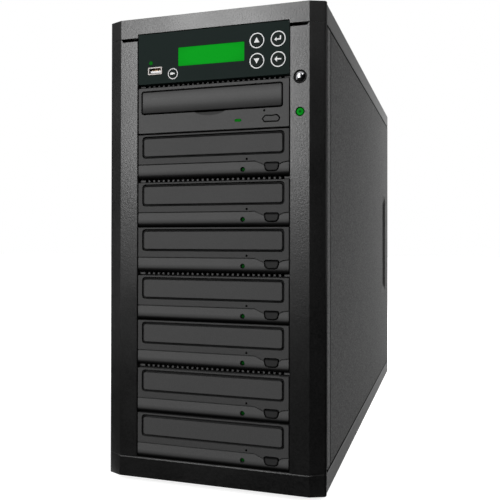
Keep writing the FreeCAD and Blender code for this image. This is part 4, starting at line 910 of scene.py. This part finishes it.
def rear_screws():
    """Screws that hold the case fan and the power supply to the rear panel."""
    bm = bmesh.new()
    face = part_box("rear_panel")[1].y
    low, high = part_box("case_fan_rotor")
    middle = (low + high) / 2
    reach = FAN_SCREW_SPACING / 2
    for x in (middle.x - reach, middle.x + reach):
        for z in (middle.z - reach, middle.z + reach):
            pan_screw(bm, facing(Vector((x, face, z)), (0, 1, 0)), FAN_SCREW_R)
    low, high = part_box("power_supply")
    inset = SUPPLY_SCREW_INSET
    for x in (low.x + inset, high.x - inset):
        for z in (low.z + inset, high.z - inset):
            pan_screw(bm, facing(Vector((x, face, z)), (0, 1, 0)), SUPPLY_SCREW_R)
    piece("rear_screws", bm, SCREW_METAL, "case")


# Disc trays and their doors

def rounded_outline(low, high, out):
    """Points round a door's face, a step outside its edge, with round corners."""
    radius = DOOR_RADIUS + out
    x0, x1 = low.x - out + radius, high.x + out - radius
    z0, z1 = low.z - out + radius, high.z + out - radius
    points = []
    for x, z, start in ((x1, z1, 0), (x0, z1, 90), (x0, z0, 180), (x1, z0, 270)):
        for step in range(CORNER_STEPS + 1):
            angle = math.radians(start + 90 * step / CORNER_STEPS)
            points.append((x + radius * math.cos(angle), z + radius * math.sin(angle)))
    return points


def door_flange(drive):
    """Narrow upright flange round a writer's door, across a trough from its edge."""
    low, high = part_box(drive + "_tray_door")
    bm = bmesh.new()
    rings = []
    for out, depth in FLANGE_SECTION:
        outline = rounded_outline(low, high, out * MM)
        rings.append([bm.verts.new((x, low.y + depth * MM, z)) for x, z in outline])
    skin(bm, rings, closed=True)
    piece(drive + "_door_flange", bm, SHADED_FLANGE_PLASTIC, drive + "_tray_carriage")


def arc_ridge(bm, middle, radius, width, height):
    """Low ridge round the disc's middle, open towards the pickup's slot."""
    gap = math.asin(RIDGE_CLEAR / radius)
    section = [(radius - width / 2, -PRINT_SINK)]
    section += [(radius + width * out, height * up) for out, up in RIDGE_PROFILE]
    section += [(radius + width / 2, -PRINT_SINK)]
    rings = []
    for step in range(RIDGE_STEPS + 1):
        angle = math.pi / 2 + gap + (2 * math.pi - 2 * gap) * step / RIDGE_STEPS
        out = Vector((math.cos(angle), math.sin(angle), 0))
        rings.append([bm.verts.new(middle + out * reach + Vector((0, 0, rise))) for reach, rise in section])
    skin(bm, rings)


def tray_ridges(drive):
    """Ridges in a tray's well that centre a small disc and carry a large one's rim."""
    bm = bmesh.new()
    low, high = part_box(drive + "_tray")
    middle = Vector(((low.x + high.x) / 2, low.y + TRAY_RIM + DISC_WELL_R, high.z - DISC_WELL_DEPTH))
    for radius, width, height in TRAY_RIDGES:
        arc_ridge(bm, middle, radius, width, height)
    piece(drive + "_tray_ridges", bm, TRAY_PLASTIC, drive + "_tray_carriage")


panel_print()
key_symbols()
usb_contacts()
rocker_marks()
thumb_screws("left")
thumb_screws("right")
rear_screws()
for drive in DRIVES:
    tray_ridges(drive)
for drive in WRITERS:
    door_flange(drive)


# Stage, light and camera

def stage_sheet(name, corners, material):
    """Flat sheet that belongs to the studio."""
    bm = bmesh.new()
    bm.faces.new([bm.verts.new(corner) for corner in corners])
    obj = mesh_object(name, bm, material)
    return obj


def seen_directly(owner):
    """1 for rays that show the background: straight from the camera, by reflection or through glass."""
    path = owner.add("ShaderNodeLightPath")
    total = path.outputs["Is Camera Ray"]
    for output in ("Is Glossy Ray", "Is Transmission Ray"):
        total = owner.math("MAXIMUM", total, path.outputs[output])
    return total


def floor():
    """Pale floor that fades to white with distance and keeps the object's shadow."""
    surface = Surface("floor_pale", roughness=0.9, specular=0.1)
    surface.colour(surface.levels(surface.noise(scale=3.0), FLOOR_LEVELS))
    surface.set("Emission Color", WHITE)
    distance = surface.vector_math("LENGTH", surface.place)
    level = surface.spread(distance, (FLOOR_NEAR, FLOOR_FAR), (FLOOR_LIFT_NEAR, FLOOR_LIFT_FAR))
    lift = surface.math("MULTIPLY", seen_directly(surface), level)
    surface.link(lift, surface.shader.inputs["Emission Strength"])
    reach = FLOOR_REACH
    stage_sheet("floor", [(-reach, -reach, 0), (reach, -reach, 0), (reach, reach, 0), (-reach, reach, 0)],
                surface.material)


def reflected_card(name, corners, material):
    """Card near the tower that only reflections show."""
    card = stage_sheet(name, corners, material)
    card.visible_camera = False
    card.visible_diffuse = False
    card.visible_transmission = False
    card.visible_shadow = False


def cards():
    """Black cards, as in a darkened studio, and a small bright one for the power button's dome."""
    black = grained("card_black", grey(0.01), contrast=0.2, scale=40.0, roughness=0.9, specular=0.05,
                    depth=0.1 * MM, edge=0.0)
    for name, corners in DARK_CARDS.items():
        reflected_card(name, corners, black)
    bright = Surface("card_bright", roughness=0.9, specular=0.05)
    bright.colour(bright.levels(bright.noise(scale=6.0), GLINT_TINT))
    bright.set("Emission Color", WHITE)
    bright.set("Emission Strength", GLINT_LEVEL)
    reflected_card("card_glint", GLINT_CARD, bright.material)


class WorldSurface:
    """The world's node tree, with the same small helpers as a surface."""

    def __init__(self):
        world = bpy.data.worlds.new("studio")
        world.use_nodes = True
        scene.world = world
        self.tree = world.node_tree
        self.background = self.tree.nodes["Background"]

    add = Surface.add
    link = Surface.link
    math = Surface.math
    spread = Surface.spread


def studio_world():
    """White surroundings that light the object only softly."""
    world = WorldSurface()
    world.background.inputs["Color"].default_value = WHITE
    level = world.spread(seen_directly(world), (0.0, 1.0), (AMBIENT, 1.0))
    world.link(level, world.background.inputs["Strength"])


def soft_light(name, place, target, size, watts, mirrored=True):
    """Rectangular soft light that faces a target; reflections may leave it out."""
    data = bpy.data.lights.new(name, "AREA")
    data.shape = "RECTANGLE"
    data.size, data.size_y = size
    data.energy = watts
    obj = bpy.data.objects.new(name, data)
    obj.location = place
    obj.rotation_euler = (Vector(target) - Vector(place)).to_track_quat("-Z", "Y").to_euler()
    obj.visible_glossy = mirrored
    scene.collection.objects.link(obj)


def camera():
    """Camera at the photograph's place."""
    data = bpy.data.cameras.new("photo_camera")
    data.sensor_width = SENSOR_WIDTH
    data.lens = CAMERA_LENS
    data.shift_x, data.shift_y = CAMERA_SHIFT
    data.clip_start = CLIP_START
    obj = bpy.data.objects.new("photo_camera", data)
    obj.location = CAMERA_PLACE
    turn = (90 - CAMERA_PITCH, CAMERA_ROLL, CAMERA_YAW)
    obj.rotation_euler = [math.radians(angle) for angle in turn]
    scene.collection.objects.link(obj)
    scene.camera = obj


floor()
cards()
studio_world()
soft_light("key_light", *KEY_LIGHT)
soft_light("right_light", *RIGHT_LIGHT, mirrored=False)
soft_light("rear_light", *REAR_LIGHT)
camera()
scene.view_settings.view_transform = "Standard"
